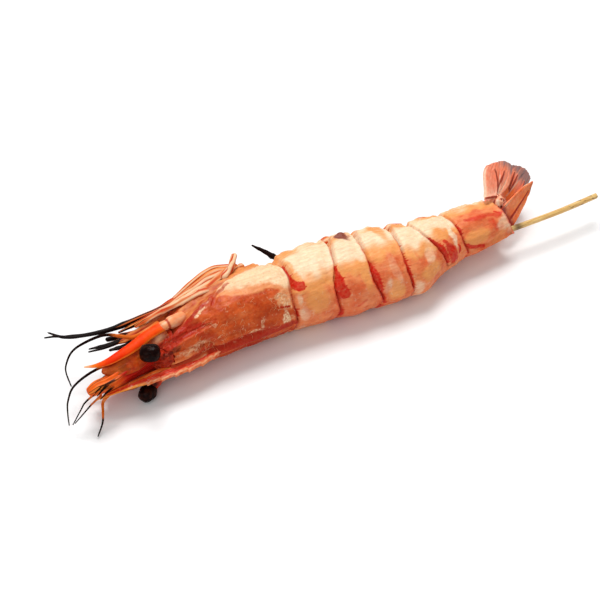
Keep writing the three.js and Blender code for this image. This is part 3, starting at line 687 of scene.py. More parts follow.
# Shell of the tail.
# From the turn paleFrom on the flank is cream; base is how red the shell is nearer the back, and bands
# are the bright red zones behind the joints. Reach is how far round the ring goes, in degrees from the
# back, and corner how far its lower corners are cut back.
rings = [
    {"reach": 134, "corner": 3.0, "paleFrom": 58, "base": 0.2,
     "bands": [[(55, -3.6, -1.0), (60, -4.8, -0.6), (66, -5.0, -0.4), (71, -4.8, -2.8), (84, -4.4, -3.7),
                (98, -4.2, -3.7), (106, -4.0, -3.7)],
               [(-12, -9, -6.6), (6, -9, -6.2), (20, -8, -5.8), (34, -8, -7.0)]],
     "pale": [(-4.2, 44, 1.4, 9, 0.6), (-3.4, 18, 2.2, 16, 0.5)],
     "warm": [(-3.4, 92, 2.6, 30, 1.3), (-2, 124, 7, 12, 1.2), (3, 34, 6, 22, 0.9)],
     "red": [], "scorch": []},
    {"reach": 138, "corner": 4.0, "paleFrom": 62, "base": 0.24,
     "bands": [[(26, 11, 15.2), (32, 11, 16.0), (40, 11, 15.6), (48, 11.2, 15.2), (56, 12.4, 15.4),
                (66, 13.6, 14.8), (76, 14.6, 15.2)],
               [(-16, 9.6, 13.2), (-4, 10, 13.2), (6, 10, 12.2)]],
     "pale": [(25, 48, 2, 16, 0.35)],
     "warm": [(24.5, 52, 2.4, 22, 0.9), (20, 118, 4, 14, 0.9)],
     "red": [([(19, 6, 0.7), (22, 14, 0.7)], 0.3)],
     "scorch": [(25.4, 124, 3.2, 11, 0.85)]},
    {"reach": 136, "corner": 3.5, "paleFrom": 76, "base": 0.05,
     "bands": [[(-10, 29.6, 31.6), (4, 28.6, 31.0), (16, 27.8, 30.0), (28, 26.8, 30.0), (40, 26, 30.0),
                (52, 26, 29.9), (62, 26.6, 29.2), (76, 27.6, 28.3)]],
     "pale": [(37.2, 46, 2, 30, 0.3), (35.5, 22, 5, 18, 0.5)],
     "warm": [(36, 14, 4, 20, 0.8), (40.5, 118, 2.6, 24, 1.2)],
     "red": [], "scorch": []},
    {"reach": 134, "corner": 3.0, "paleFrom": 62, "base": 0.0,
     "bands": [[(-14, 41, 43.9), (0, 41, 44.4), (14, 41, 44.2), (28, 41, 43.8), (40, 40.8, 43.5),
                (54, 40.8, 43.3), (72, 41.6, 43.8), (88, 42.8, 44.4)]],
     "pale": [(55, 54, 3, 16, 0.5), (46, 4, 3, 20, 0.5)],
     "warm": [(53, 28, 6, 16, 0.8), (50, 128, 6, 9, 1)],
     "red": [([(49, 54, 0.7), (48.6, 66, 0.7)], 0.3)], "scorch": []},
    {"reach": 138, "corner": 2.5, "paleFrom": 70, "base": 0.2,
     "bands": [[(10, 61.4, 63.6), (24, 61, 64.0), (38, 60.6, 63.6), (52, 59.6, 62.8), (66, 58.4, 60.8),
                (84, 56.4, 57.8)]],
     "pale": [(69.4, 62, 1.5, 26, 0.8), (62, 72, 2.4, 8, 0.3)],
     "warm": [(65, 78, 3, 9, 0.7), (66, 128, 6, 9, 1)],
     "red": [([(64, 62, 0.8), (66.6, 34, 2.2), (67, 8, 1.8)], 0.72),
             ([(70.6, 40, 0.6), (70.2, 22, 0.6)], 0.85)], "scorch": []},
    {"reach": 146, "corner": 1.5, "paleFrom": 106, "base": 0.22,
     "bands": [[(-12, 74, 75.4), (6, 74, 75.6), (24, 73, 74.4), (50, 72.4, 73.8), (70, 72, 74.4),
                (90, 71.4, 73.2)]],
     "pale": [(94.5, 42, 3, 20, 0.55), (97.5, 50, 2.6, 26, 0.7), (98, 20, 1.8, 16, 0.5)],
     "warm": [(80.5, 36, 6, 20, 1.3), (92, 12, 6, 22, 0.4)],
     "red": [([(79, 84, 1.0), (85, 78, 1.6), (89, 82, 1.2), (94, 72, 1.8)], 0.42),
             ([(90, 66, 1.6), (91, 40, 1.0)], 0.3),
             ([(75, 28, 0.9), (78, 14, 1.2), (83, 7, 1.0)], 0.7), ([(94, 84, 0.7), (96, 74, 0.7)], 0.7)],
     "scorch": [(98.6, 4, 1, 8, 0.5)]},
]
ringShell = {"lap": 3.0, "step": 1.6, "crown": 0.8, "flare": 0.32, "wall": 0.6, "steps": (76, 240)}
for ring in rings:
    ring["madeBands"] = makeBands(ring["bands"])


# Swellings and creases of single rings, at x and away degrees from the back.
def ringCharacter(n, x, away):
    if n == 1:
        return 1.0 * hump((x - 27.5) / 4) * hump((away - 130) / 12)
    if n == 2:
        return 0.8 * hump((x - 40) / 4) * hump((away - 128) / 12)
    if n == 4:
        return -0.3 * hump((x - 70.6) / 0.5)
    if n == 5:
        return 0.9 * hump(away / 5) - 0.35 * hump((away - 14) / 6)
    return 0.0


def ringShape(n):
    ring = rings[n]
    reach = ring["reach"]

    def shape(u, v):
        w = 2 * v - 1
        side = abs(w)
        away = side * reach
        sign = 1 if w >= 0 else -1
        turn = markTurn(radians(sign * away))
        rounding = ring["corner"] * side ** 7
        lapEdge = rearEdge(n, away / 90)
        start = lapEdge - ringShell["lap"] + rounding
        end = rearEdge(n + 1, away / 90) - rounding + 0.35 * rough(away * 0.11, n * 3.3, sign)
        end += 0.6 * ease((away - 112) / 16) * rough(away * 0.12, n * 5.1, sign)  # ragged lower edge
        end += 0.12 * rough(away * 0.5, n)
        x = mix(start, end, u)
        fromLap, fromRear = x - lapEdge, end - x
        low = ease((away - 108) / 18)

        lift = -ringShell["step"] * (1 - ease((fromLap + 0.2) / 2.2))
        lift += ringShell["crown"] * bulge(fromLap / (end - lapEdge))
        lift += -0.16 * hump((fromRear - 2.4) / 0.9) + ringShell["flare"] * ease((1.8 - fromRear) / 1.8)
        lift += 0.55 * rough(x * 0.13, away * 0.045, n * 7 + sign) + 0.2 * rough(x * 0.4, away * 0.12, n)
        lift += 0.09 * rough(x * 0.5, away * 0.6, n + 3) + 0.05 * rough(x * 2.5, away * 0.7, n)
        lift += low * (0.7 * rough(x * 0.3, away * 0.12, n * 2 + sign)
                       + 0.15 * rough(x * 0.9, away * 0.3, n))
        lift += ringCharacter(n, x, away)

        seed = n * 11 + (3 if sign > 0 else 77)
        streak = 0.5 + 0.5 * rough(x * 0.12, turn * 0.5, n) + 0.3 * rough(x * 0.3, turn * 1.4, n)
        cream = turn - ring["paleFrom"] + 9 * rough(x * 0.25, turn * 0.04, seed)
        spots = stain(ring["pale"], x, turn, seed)
        glow = stain(ring["warm"], x, turn, seed + 60)
        pale = ease(cream / 26) * 0.95 - 0.75 * low * streak + 0.25 * rough(x * 0.2, turn * 0.06, seed + 30)
        # The faint pale line near the rear rim is partly the rim's paler shell and partly a painted highlight
        # on the raised edge.
        pale += spots + 0.12 * hump((fromRear - 0.4) / 0.5) * streak
        pale -= 0.5 * glow * (0.6 + 0.8 * streak)
        red = inBands(ring["madeBands"], x, turn, seed, 2.8, 0.9)
        red *= (1.15 if sign > 0 else 0.9) + 0.45 * rough(x * 0.5, turn * 0.8, n + 15)
        red += stroke(ring["red"], x, turn, seed + 20) * (0.8 + 0.5 * streak)
        red += ring["base"] * ease((ring["paleFrom"] - 4 - turn) / 24) * (0.5 + streak)
        # A red line deep in the step at the ring's front is painted shade of the crevice under the ring in
        # front.
        red += 0.7 * hump((fromLap - 0.2) / 0.45) * ease((118 - away) / 14) * (0.4 + streak * 0.7)
        red += 0.5 * hump((fromRear - 0.15) / 0.35) * ease((118 - turn) / 20)
        red += 0.4 * ease((2.2 - fromLap) / 2.4) * ease((ring["paleFrom"] + 26 - turn) / 30) * streak
        # The dark hump at the lapped front, put in the scorch mark, is painted shade of that crevice.
        scorch = stain(ring["scorch"], x, turn, seed + 40) + 0.5 * hump((fromLap + 0.3) / 0.5)
        warm = glow + 0.85 * low + 0.3 * rough(x * 0.2, turn * 0.05, seed) + ease((cream + 12) / 14)
        wear = 0.3 * ease((60 - turn) / 30) + 0.5 * spots
        point = skin(x, radians(sign * away), lift)
        return point, (clamp(pale), clamp(red), clamp(scorch), clamp(warm)), clamp(wear)

    return shape


for n in range(len(rings)):
    form = sheetForm(*ringShell["steps"], ringShape(n))
    faceOut(form)
    finishPiece(form, f"ringShell{n + 1}", "ring", [f"ring_{n + 1}"], ringShell["wall"])
print("tail shell made")

# Flesh. The front end of each body is rounded over the share capAt of its length.
flesh = {"thorax": (-62.5, -9.5), "tail": (-10.4, 97.5), "sides": 120, "steps": 150}


def roundedEnd(u, capAt):
    return 1 - sqrt(clamp(1 - (1 - min(1, u / capAt)) ** 2))


def thoraxShape(u, v):
    theta = v * 2 * pi
    x = mix(*flesh["thorax"], u)
    under = ease((-cos(theta) - 0.4) / 0.4)
    ends = 5 * roundedEnd(u, 0.05) + 3 * ease((u - 0.96) / 0.04)
    turn = degrees(theta)
    folds = 0.5 * sin(turn * 0.35 + 3 * rough(x * 0.07, turn * 0.03)) + 0.9 * rough(x * 0.1, turn * 0.16, 3)
    folds += 0.35 * rough(x * 0.25, turn * 0.6, 6)
    lift = mix(-1.8, 0.3, under) + under * folds - ends + 0.2 * rough(x * 0.6, theta * 6, 2)
    front = ease((-47 - x) / 8)
    pale = 0.1 + 0.9 * rough(x * 0.08, turn * 0.5, 9) - front
    red = 0.35 * ease(rough(x * 0.15, turn * 0.2, 4) * 2) + 0.9 * front
    red += ease((-24 - x) / 10) * (0.45 + 0.5 * rough(x * 0.3, turn * 0.4, 14))
    return skin(x, theta, lift), (clamp(pale), clamp(red), 0.4 * front, 0.5), 0.0


def tailShape(u, v):
    theta = v * 2 * pi
    x = mix(*flesh["tail"], u)
    under = ease((-cos(theta) - 0.72) / 0.2)
    ends = 3 * roundedEnd(u, 0.03) + 2 * ease((u - 0.98) / 0.02)
    turn = degrees(theta)
    folds = 0.5 * sin(x * 0.9 + 2 * rough(theta * 2, x * 0.1)) + 0.5 * rough(x * 0.3, turn * 0.1, 3)
    lift = mix(-3.2, -2.2, under) + under * folds - ends
    pale = 0.3 + 0.8 * rough(x * 0.2, turn * 0.08, 9)
    red = 0.35 * hump(sin(x * 0.25) / 0.3)
    return skin(x, theta, lift), (clamp(pale), clamp(red), 0, 0.6), 0.0


form = roundForm(flesh["sides"], flesh["steps"], thoraxShape)
finishPiece(form, "headFlesh", "flesh", ["thorax"])
form = roundForm(flesh["sides"], flesh["steps"], tailShape)
finishPiece(form, "tailMuscle", "flesh", ["tail_flesh"])
print("flesh made")


# Limbs.
# A limb runs along stops of (x, right, back, radius). Section widths and paint come from functions
# of the share along it and the angle round it. The second width is measured in the direction up,
# given as (x, right, back), and the ends are rounded over capLength radii.
def pathThrough(stops):
    marks, far = [0.0], 0.0
    for a, b in zip(stops, stops[1:]):
        far += sqrt(sum((p - q) ** 2 for p, q in zip(a[:3], b[:3])))
        marks.append(far)
    rows = [(mark / far, *stop) for mark, stop in zip(marks, stops)]
    curves = [through(rows, column) for column in (1, 2, 3, 4)]
    return lambda t: [curve(t) for curve in curves], far


def limbForm(stops, sides=18, steps=80, section=None, paint=None, up=(0, 1, 0), capLength=1.0):
    path, far = pathThrough(stops)
    reference = (toRight * up[1] + toBack * up[2] + Vector((up[0], 0, 0))).normalized()

    def shape(u, v):
        x, right, back, radius = path(u)
        ahead, behind = path(min(1, u + 0.01)), path(max(0, u - 0.01))
        tangent = (fromAxis(*ahead[:3]) - fromAxis(*behind[:3])).normalized()
        side = tangent.cross(reference).normalized()
        top = side.cross(tangent)
        cap = min(u, 1 - u) * far / max(radius * capLength, 0.01)
        radius *= sqrt(clamp(1 - (1 - min(1, cap)) ** 2, 0.0004))
        angle = v * 2 * pi
        wide, tall = section(u, angle, x) if section else (1, 1)
        centre = fromAxis(x, right, back) + shift
        point = centre + (side * cos(angle) * wide + top * sin(angle) * tall) * radius * millimetre
        point.z = max(point.z, 0.0)
        marks = paint(u, angle, x) if paint else plain
        return point, tuple(clamp(m) for m in marks), 0.05

    return roundForm(sides, steps, shape)


# Ridges, joints and shrivelling of a cooked leg.
legLook = {"knot": 0.2, "ridge": 0.14, "shrivel": 0.2, "flat": 0.75}


# How high a point of a leg lies between its lengthwise ridges, from -1 to 1.
def ridgeAt(u, angle, seed):
    return sin(angle * 3 + seed + 3 * rough(u * 3, seed))


def legSection(seed, joints=3, flat=legLook["flat"]):
    def section(u, angle, x):
        knot = 1 + legLook["knot"] * hump(((u * joints) % 1 - 0.5) / 0.12) if joints else 1
        ridges = 1.05 + legLook["ridge"] * ridgeAt(u, angle, seed)
        ridges += legLook["shrivel"] * rough(u * 5, angle * 1.6, seed)
        return knot * ridges, knot * ridges * flat
    return section


def legPaint(seed, burnt, cream):
    def paint(u, angle, x):
        streak = rough(u * 2, angle * 1.7, seed)
        # The crests of the lengthwise ridges are painted paler, a painted highlight, and the grooves between
        # them redder, painted shade.
        crest = 0.4 * ridgeAt(u, angle, seed)
        pale = cream - 0.16 + 0.8 * streak + 1.2 * crest - 1.4 * ease((u - burnt + 0.2) / 0.25)
        red = 0.3 - crest + 0.6 * rough(u * 4, angle * 1.2, seed + 5) + 0.3 * ease((u - burnt + 0.25) / 0.2)
        scorch = 1.15 * ease((u - burnt + 0.45 * streak) / 0.16)
        return pale, red, scorch, 0.5 + 0.6 * rough(u * 4, angle, seed + 8)
    return paint


def burntPaint(u, angle, x):
    return 0, 0.3, 1, 0


# Burnt is the share of a leg at which it turns black, and cream is how pale it is before that.
rightLegs = {
    "leg_right_1": {"stops": [(-34, 9.4, -12.8, 1.5), (-41, 9.4, -12.0, 1.3), (-50, 9.0, -11.4, 1.1),
                              (-58, 7.6, -10.9, 1.0), (-66, 5.6, -10.4, 0.6)], "burnt": 0.95, "cream": 0.7},
    "leg_right_2": {"stops": [(-27, 8.0, -17.2, 1.5), (-34, 7.8, -16.0, 1.4), (-43, 6.8, -14.2, 1.2),
                              (-58, 5.6, -12.8, 1.0), (-72, 3.2, -12.4, 0.4)],
                    "burnt": 0.84, "cream": 0.45},
    "leg_right_3": {"stops": [(-21, 6.4, -20.4, 2.0), (-27, 6.0, -22.4, 1.6), (-36, 5.8, -20.0, 1.4),
                              (-50, 4.4, -16.0, 1.2), (-62, 4.0, -15.2, 1.1), (-76, 2.6, -15.8, 0.9),
                              (-90, 1.0, -20.6, 0.6), (-95.2, 1.0, -25.6, 0.3)],
                    "fork": [(-89, 1.0, -20.2, 0.6), (-93, 1.0, -22.4, 0.45), (-97.2, 1.0, -23.6, 0.3)],
                    "burnt": 0.42, "cream": 0.4},
    "leg_right_4": {"stops": [(-14, 5.2, -21.4, 1.6), (-22, 3.2, -21.4, 1.3), (-30, 2.6, -20.8, 1.1),
                              (-46, 2.2, -17.8, 0.9), (-60, 1.4, -17.6, 0.5)], "burnt": 0.95, "cream": 0.4},
    "leg_right_5": {"stops": [(-27, 9.8, -14.8, 1.4), (-21.6, 10.4, -18.6, 1.3), (-16.8, 10.0, -24.6, 1.1)],
                    "burnt": 2, "cream": 0.95, "joints": 0},
}
otherLegs = {
    "leg_left_5": {"stops": [(-12.2, -7.4, -18.4, 1.5), (-6.6, -7.2, -22.4, 1.2), (1, -6.4, -23.0, 0.7)],
                   "burnt": 0.9, "cream": 0.5},
    "mouthpart_right": {"stops": [(-50, 3.4, -12.4, 2.0), (-60, 2.8, -10.4, 1.7), (-71, 1.9, -9.4, 1.1),
                                  (-78, 1.1, -10.4, 0.7), (-84.2, 0.4, -12.0, 0.3)],
                        "fork": [(-72, 1.9, -9.2, 0.7), (-79, 1.3, -9.4, 0.5), (-85, 1.0, -10.4, 0.3)],
                        "burnt": 0.6, "cream": 0.3},
    "mouthpart_left": {"stops": [(-50, -3.4, -12.4, 2.0), (-60, -2.8, -10.4, 1.7), (-70, -2.3, -9.4, 1.0),
                                 (-77, -1.8, -9.8, 0.5)], "burnt": 0.65, "cream": 0.3},
}


def mirrored(stops, count=None, drop=0.0):
    return [(x, -right - drop, back, radius) for x, right, back, radius in stops[:count]]


# The left legs: how many stops of the right leg they keep, how much further out they lie, burnt
# and cream.
leftLegs = {1: (None, 0.0, 0.8, 0.5), 2: (None, 0.0, 0.75, 0.4), 3: (6, 0.2, 0.7, 0.4),
            4: (None, 0.0, 0.8, 0.4)}
for number, (count, drop, burnt, cream) in leftLegs.items():
    stops = mirrored(rightLegs[f"leg_right_{number}"]["stops"], count, drop)
    otherLegs[f"leg_left_{number}"] = {"stops": stops, "burnt": burnt, "cream": cream}

for seed, (name, leg) in enumerate((rightLegs | otherLegs).items()):
    section, paint = legSection(seed, leg.get("joints", 4)), legPaint(seed, leg["burnt"], leg["cream"])
    form = limbForm(leg["stops"], sides=24, steps=120, section=section, paint=paint)
    finishPiece(form, pieceName(name), "leg", [name])
    if "fork" in leg:
        form = limbForm(leg["fork"], sides=12, steps=50, paint=burntPaint)
        finishPiece(form, pieceName(name) + "Fork", "leg", [name])

# Folded strips of skin lie between the roots of the legs.
strips = [
    {"cream": 0.6, "stops": [(-20, 6.6, -22.4, 0.9), (-27, 6.8, -24.2, 0.8), (-36, 6.6, -21.6, 0.8),
                             (-47, 5.2, -17.4, 0.6)]},
    {"cream": 0.55, "stops": [(-24, 8.2, -19.6, 1.2), (-31, 8.2, -18.8, 1.3), (-40, 7.4, -16.6, 1.1),
                              (-50, 6.2, -14.2, 0.7)]},
    {"cream": 0.7, "stops": [(-30, 9.0, -16.0, 1.3), (-38, 8.8, -14.4, 1.4), (-46, 8.2, -12.9, 1.2),
                             (-53, 7.6, -12.0, 0.6)]},
    {"cream": 0.15, "stops": [(-18, 8.6, -20.2, 1.0), (-25, 9.2, -18.0, 1.2), (-33, 9.4, -14.6, 1.0),
                              (-41, 9.8, -11.4, 0.6)]},
]
for count, strip in enumerate(strips):
    seed = 40 + count
    section, paint = legSection(seed, joints=0, flat=0.5), legPaint(seed, 2, strip["cream"])
    form = limbForm(strip["stops"], sides=20, steps=90, section=section, paint=paint)
    finishPiece(form, f"legStrip{count}", "leg", ["leg_right_2"])


def swimmeretStops(n, side):
    x = mix(rearEdges[n][2], rearEdges[n + 1][2], 0.2)
    low = middle(x) - depth(x) + 1.7
    size = mix(1.6, 1.1, n / 4)
    return [(x - 1, side * 3.2, low + 1.3, size), (x + 4.5, side * 3.8, low - 0.7, size),
            (x + 10, side * 3.6, low + 0.2, 0.5 * size)]


for n in range(5):
    for side, word in ((1, "right"), (-1, "left")):
        node = f"swimmeret_{word}_{n + 1}"
        section, paint = legSection(n, joints=1, flat=0.55), legPaint(n + side, 1.4, 0.5)
        form = limbForm(swimmeretStops(n, side), sides=16, steps=40, section=section, paint=paint)
        finishPiece(form, pieceName(node), "leg", [node])
print("legs made")

# Limbs of the head.
headLimbs = {
    "eyestalk_right": {"finish": "horn", "stops": [(-61.2, 4.0, 4.3, 1.2), (-62.6, 6.4, 5.6, 1.6),
                                                   (-65.4, 9.2, 6.4, 1.8)]},
    "eyestalk_left": {"finish": "horn", "stops": [(-60.2, -3.2, 4.0, 1.8), (-63.8, -5.2, 7.0, 2.2),
                                                  (-68.4, -6.5, 9.4, 2.2)]},
    "antenna_base_right": {"finish": "joint", "stops": [(-47.6, 8.4, -6.2, 1.9), (-51, 9.2, -4.6, 2.4),
                                                        (-54, 9.5, -3.9, 2.5), (-56, 9.6, -3.6, 2.0),
                                                        (-59, 9.6, -3.2, 2.1)]},
    "antennule_right": {"finish": "brush", "stops": [(-60, 3.2, 0.8, 3.2), (-72, 2.8, 3.6, 3.3),
                                                     (-80, 2.8, 6.0, 3.0), (-86, 3.2, 7.6, 2.7),
                                                     (-89.5, 3.6, 8.1, 2.5), (-92.8, 3.2, 8.8, 1.7)]},
    "antennule_left": {"finish": "brush", "stops": [(-60, -3.2, 0.6, 2.4), (-72, -3.2, 2.2, 2.4),
                                                    (-82, -3.0, 3.6, 2.3), (-89.4, -2.6, 4.8, 1.6)]},
}
rightBase = headLimbs["antenna_base_right"]
headLimbs["antenna_base_left"] = rightBase | {"stops": mirrored(rightBase["stops"])}


def headPaint(name):
    def paint(u, angle, x):
        streak = rough(u * 4, angle * 1.5, len(name))
        if name.startswith("eyestalk"):
            return 0.2 * streak, 0.9 - 0.2 * u, 0.5 + 0.5 * streak, 0
        if name.startswith("antenna_base"):
            red = 0.9 * hump((u - 0.72) / 0.05) + 0.3 * rough(u * 6, angle * 2, 4)
            return 0.2 + 0.6 * streak, red, 0, 0.3
        slits = ease((rough(u * 3.2, angle * 3.6, 6) - 0.16) * 6) * ease((u - 0.45) / 0.3)
        red = 1.1 - 1.3 * ease((u - 0.45) / 0.35) + 0.4 * streak
        return 0.4 * streak, red, 0.75 * slits, 0.3 + 0.8 * streak
    return paint


def smoothSection(u, angle, x):
    swell = 1 + 0.1 * rough(u * 3, angle * 0.8, 5)
    return swell, swell * 0.95


def brushSection(u, angle, x):
    strand = 0.09 * sin(angle * 9 + 5 * rough(u * 4, 3)) + 0.08 * rough(u * 9, angle * 3, 5)
    return 1 + strand, 0.95 + strand


for name, head in headLimbs.items():
    up = (0, 0, 1) if name.startswith("eyestalk") else (0, 1, 0)
    section = brushSection if head["finish"] == "brush" else smoothSection
    form = limbForm(head["stops"], sides=48, steps=110, section=section, paint=headPaint(name), up=up,
                    capLength=0.7)
    finishPiece(form, pieceName(name), head["finish"], [name])

# Burnt bristles stand on the end of the brush.
bristles = [
    [(-84.6, 4.6, 9.0, 0.5), (-87, 4.9, 10.2, 0.45), (-90.4, 3.6, 11.6, 0.15)],
    [(-86.0, 5.0, 8.4, 0.4), (-88.6, 5.0, 9.6, 0.4), (-91.8, 3.2, 10.8, 0.15)],
    [(-83.0, 3.8, 10.2, 0.4), (-86.6, 3.8, 11.6, 0.4), (-89.6, 2.4, 12.6, 0.15)],
    [(-86.4, 5.6, 6.8, 0.3), (-89.0, 5.4, 7.8, 0.3), (-91.4, 4.6, 9.0, 0.15)],
]


def bristlePaint(u, angle, x):
    return 0, 0.5, 0.4 + 0.7 * ease(u * 2), 0.4


for count, stops in enumerate(bristles):
    form = limbForm(stops, sides=10, steps=40, paint=bristlePaint)
    finishPiece(form, f"brushBristle{count}", "char", ["antennule_right"])


# Wrinkled skin closes the front of the head around the eyestalks.
headFront = {
    "from": -66.5, "to": -55.5, "reach": 125, "wall": 0.4, "steps": (60, 120),
    "folds": [([(-64, 64, 0.5), (-60, 56, 0.5), (-57, 62, 0.4)], 1), ([(-63, 40, 0.5), (-58, 46, 0.4)], 1)],
    "pale": [([(-64, 64, 0.4), (-60, 56, 0.4), (-57, 62, 0.3)], 1)],
}


def headFrontShape(u, v):
    theta = radians(mix(-headFront["reach"], headFront["reach"], v))
    turn = degrees(abs(theta))
    x = mix(headFront["from"], headFront["to"], u)
    folds = 0.5 * rough(x * 0.5, turn * 0.08, 21) + 0.35 * rough(x * 1.1, turn * 0.2, 5)
    folds += 0.4 * stroke(headFront["folds"], x, turn)
    lift = -0.6 - 4.6 * ease((-61.0 - x) / 5.5) ** 1.6 + folds
    pale = 0.75 * stroke(headFront["pale"], x, turn) + 0.3 * rough(x, turn * 0.3, 2)
    red = 0.9 + 0.4 * rough(x * 0.6, turn * 0.1, 8)
    scorch = 0.3 + 0.3 * rough(x * 0.4, turn * 0.09, 3) - pale
    return skin(x, theta, lift), (clamp(pale), clamp(red), clamp(scorch), 0), 0.3


form = sheetForm(*headFront["steps"], headFrontShape)
faceOut(form)
finishPiece(form, "headFrontSkin", "carapace", ["thorax"], headFront["wall"])

# Whiskers: root is the share that isn't burnt.
whiskers = {
    "antenna_right": {"root": 0.3, "stops": [
        (-57.6, 8.6, -6.6, 1.0), (-63, 8.7, -4.9, 0.95), (-69.2, 8.2, -4.5, 0.85), (-73.4, 8.4, -6.9, 0.7),
        (-76.4, 8.3, -9.1, 0.6), (-80, 7.9, -10.4, 0.6), (-87.2, 5.6, -11.3, 0.5), (-91, 4.0, -10.8, 0.42),
        (-93.8, 2.4, -8.7, 0.36), (-95.4, 0.0, -6.5, 0.3), (-95.4, -4.0, -1.6, 0.25)]},
    "antenna_left": {"root": 0.4, "stops": [
        (-57.6, -8.8, -6.3, 0.75), (-72.8, -5.4, -5.6, 0.6), (-84.4, -3.0, -4.4, 0.55),
        (-94.7, -3.0, -0.8, 0.42), (-99.1, -4.0, 4.1, 0.34), (-100.7, -6.0, 7.7, 0.28),
        (-101.6, -9.0, 10.9, 0.22)]},
    "feeler_1": {"root": 0.1, "stops": [
        (-90.6, 2.4, 9.4, 0.5), (-94.6, 0.0, 9.9, 0.32), (-96.6, -2.0, 10.8, 0.26),
        (-100.7, -7.0, 12.4, 0.2)]},
    "feeler_2": {"root": 0.3, "stops": [
        (-87.6, 0.2, 9.2, 0.5), (-92.3, -1.6, 10.5, 0.36), (-94.9, -3.0, 11.3, 0.28),
        (-100.0, -6.0, 12.8, 0.2)]},
    "feeler_3": {"root": 0.5, "stops": [
        (-84.6, -0.4, 9.4, 0.8), (-88.0, -2.4, 10.8, 0.6), (-89.3, -4.2, 13.6, 0.5),
        (-90.8, -6.2, 16.6, 0.36), (-94.2, -8.6, 20.0, 0.22)]},
}


def whiskerPaint(root):
    return lambda u, angle, x: (0.5 * hump((u - root * 0.4) / 0.06), 0.2, 1.2 * ease((u - root) / 0.2), 0.6)


for name, whisker in whiskers.items():
    form = limbForm(whisker["stops"], sides=10, steps=140, paint=whiskerPaint(whisker["root"]))
    finishPiece(form, pieceName(name), "char", [name])

# A loose burnt end stands under the first ring.
looseEnd = [(1.2, 2.1, -20.7, 1.3), (-1.6, 2.0, -26.5, 0.9), (-5.5, 3.0, -31.6, 0.35)]
form = limbForm(looseEnd, sides=14, steps=40, section=legSection(8, joints=2), paint=burntPaint)
finishPiece(form, "charredTip", "char", ["charred_tip"])

# Eyes: boxy balls, dented by the heat.
eyes = {
    "eye_right": {"at": (-67.3, 11.0, 6.9), "radii": (4.0, 3.35, 3.1), "boxy": 2.7, "turn": -24},
    "eye_left": {"at": (-70.3, -7.4, 10.6), "radii": (3.9, 3.1, 3.1), "boxy": 2.4, "turn": 30},
}
for seed, (name, eye) in enumerate(eyes.items()):
    form, paint, wear = newForm()
    bmesh.ops.create_icosphere(form, subdivisions=5, radius=1)
    centre = fromAxis(*eye["at"]) + shift
    twist = Euler((0, 0, radians(eye["turn"]))).to_matrix()
    for vertex in form.verts:
        n = vertex.co.normalized()
        box = sum(abs(part) ** eye["boxy"] for part in n) ** (-1 / eye["boxy"])
        dent = 0.06 * noise.noise(n * 1.6 + Vector((seed * 5, 0, 0))) + 0.04 * noise.noise(n * 4)
        reach = Vector([part * size for part, size in zip(n, eye["radii"])])
        vertex.co = centre + twist @ reach * (box * 0.97 + dent + 0.02 * noise.noise(n * 9)) * millimetre
        vertex.co.z = max(vertex.co.z, 0)
    finishPiece(form, pieceName(name), "eye", [name])
print("head limbs and eyes made")


# Flat blades: antennal scales and the tail fan. A blade runs from root to tip, across gives its
# width's direction, and taper is the share of its width at the root.
plainLeaf = {
    "point": 0,  # share of the width lost on the way to the tip
    "end": 0.37, "blunt": 5,  # share of the width left at the tip, and how late it narrows
    "slant": 0, "shear": 0,  # how far the tip and the root slope from side to side
    "cup": 0,  # curl across the width
    "lean": 0,  # 1 lays one side along the line from root to tip
}


def leafForm(leaf, steps=(110, 80)):
    start, end = fromAxis(*leaf["root"]) + shift, fromAxis(*leaf["tip"]) + shift
    side = fromAxis(*leaf["across"]) - fromAxis(0, 0, 0)
    along = end - start
    side = (side - along * side.dot(along) / along.length_squared).normalized()
    face = along.cross(side).normalized()
    seed = leaf["seed"]

    def shape(u, v):
        w = 2 * v - 1
        half = leaf["width"] / 2 * mix(leaf["taper"], 1, ease(u * 1.6)) * (1 - leaf["point"] * u)
        half *= sqrt(1 - (1 - leaf["end"] ** 2) * u ** leaf["blunt"])
        half *= 1 + 0.04 * rough(u * 8, w, seed)
        reach = u * (1 - 0.12 * w * w * u * u) - 0.04 * u * abs(rough(w * 7, seed))  # ragged tip
        reach += w * (leaf["slant"] * u * u + leaf["shear"] * (1 - u) ** 2)
        lift = leaf["cup"] * w * w * half + leaf["relief"](u, w)
        lift += 0.1 * rough(u * 7, w * 3, seed) + 0.05 * rough(u * 16, w * 8, seed)
        point = start + along * reach + (side * (w + leaf["lean"]) * half + face * lift) * millimetre
        point.z = max(point.z, 0.0)
        return point, tuple(clamp(m) for m in leaf["paint"](u, w)), 0.03

    return sheetForm(*steps, shape)


# How near a point of a blade is to a line between two points of it; the line widens on its way.
def crease(u, w, line, reach):
    (au, aw), (bu, bw) = line
    k = clamp(((u - au) * (bu - au) + (w - aw) * (bw - aw)) / ((bu - au) ** 2 + (bw - aw) ** 2))
    gap = hypot(u - mix(au, bu, k), (w - mix(aw, bw, k)) * 0.5) / (reach * (0.35 + k))
    return hump(gap)


def scaleRelief(u, w):
    return 0.2 * hump((w + 0.2) / 0.3) + 0.2 * rough(u * 4, w * 3, 2) - 0.4 * ease((w - 0.5) / 0.5)


def scalePaint(u, w):
    vein = ease((rough(u * 6, w * 2.4, 4) - 0.05) * 4)
    pale = 0.8 * hump((u - 0.14) / 0.1) * hump((w - 0.1) / 0.5)
    pale += 0.5 * hump((w - 0.96) / 0.05) * ease((u - 0.8) / 0.1)
    red = 0.6 * ease((w - 0.55) / 0.3) * ease((0.75 - u) / 0.3)
    red += 0.45 * hump((u - 0.35) / 0.2) * hump((w - 0.5) / 0.3)
    return pale, red + 0.25 * rough(u * 3, w * 5, 7), 0.4 * vein, 0.5 + 0.8 * rough(u * 4, w * 2, 9)


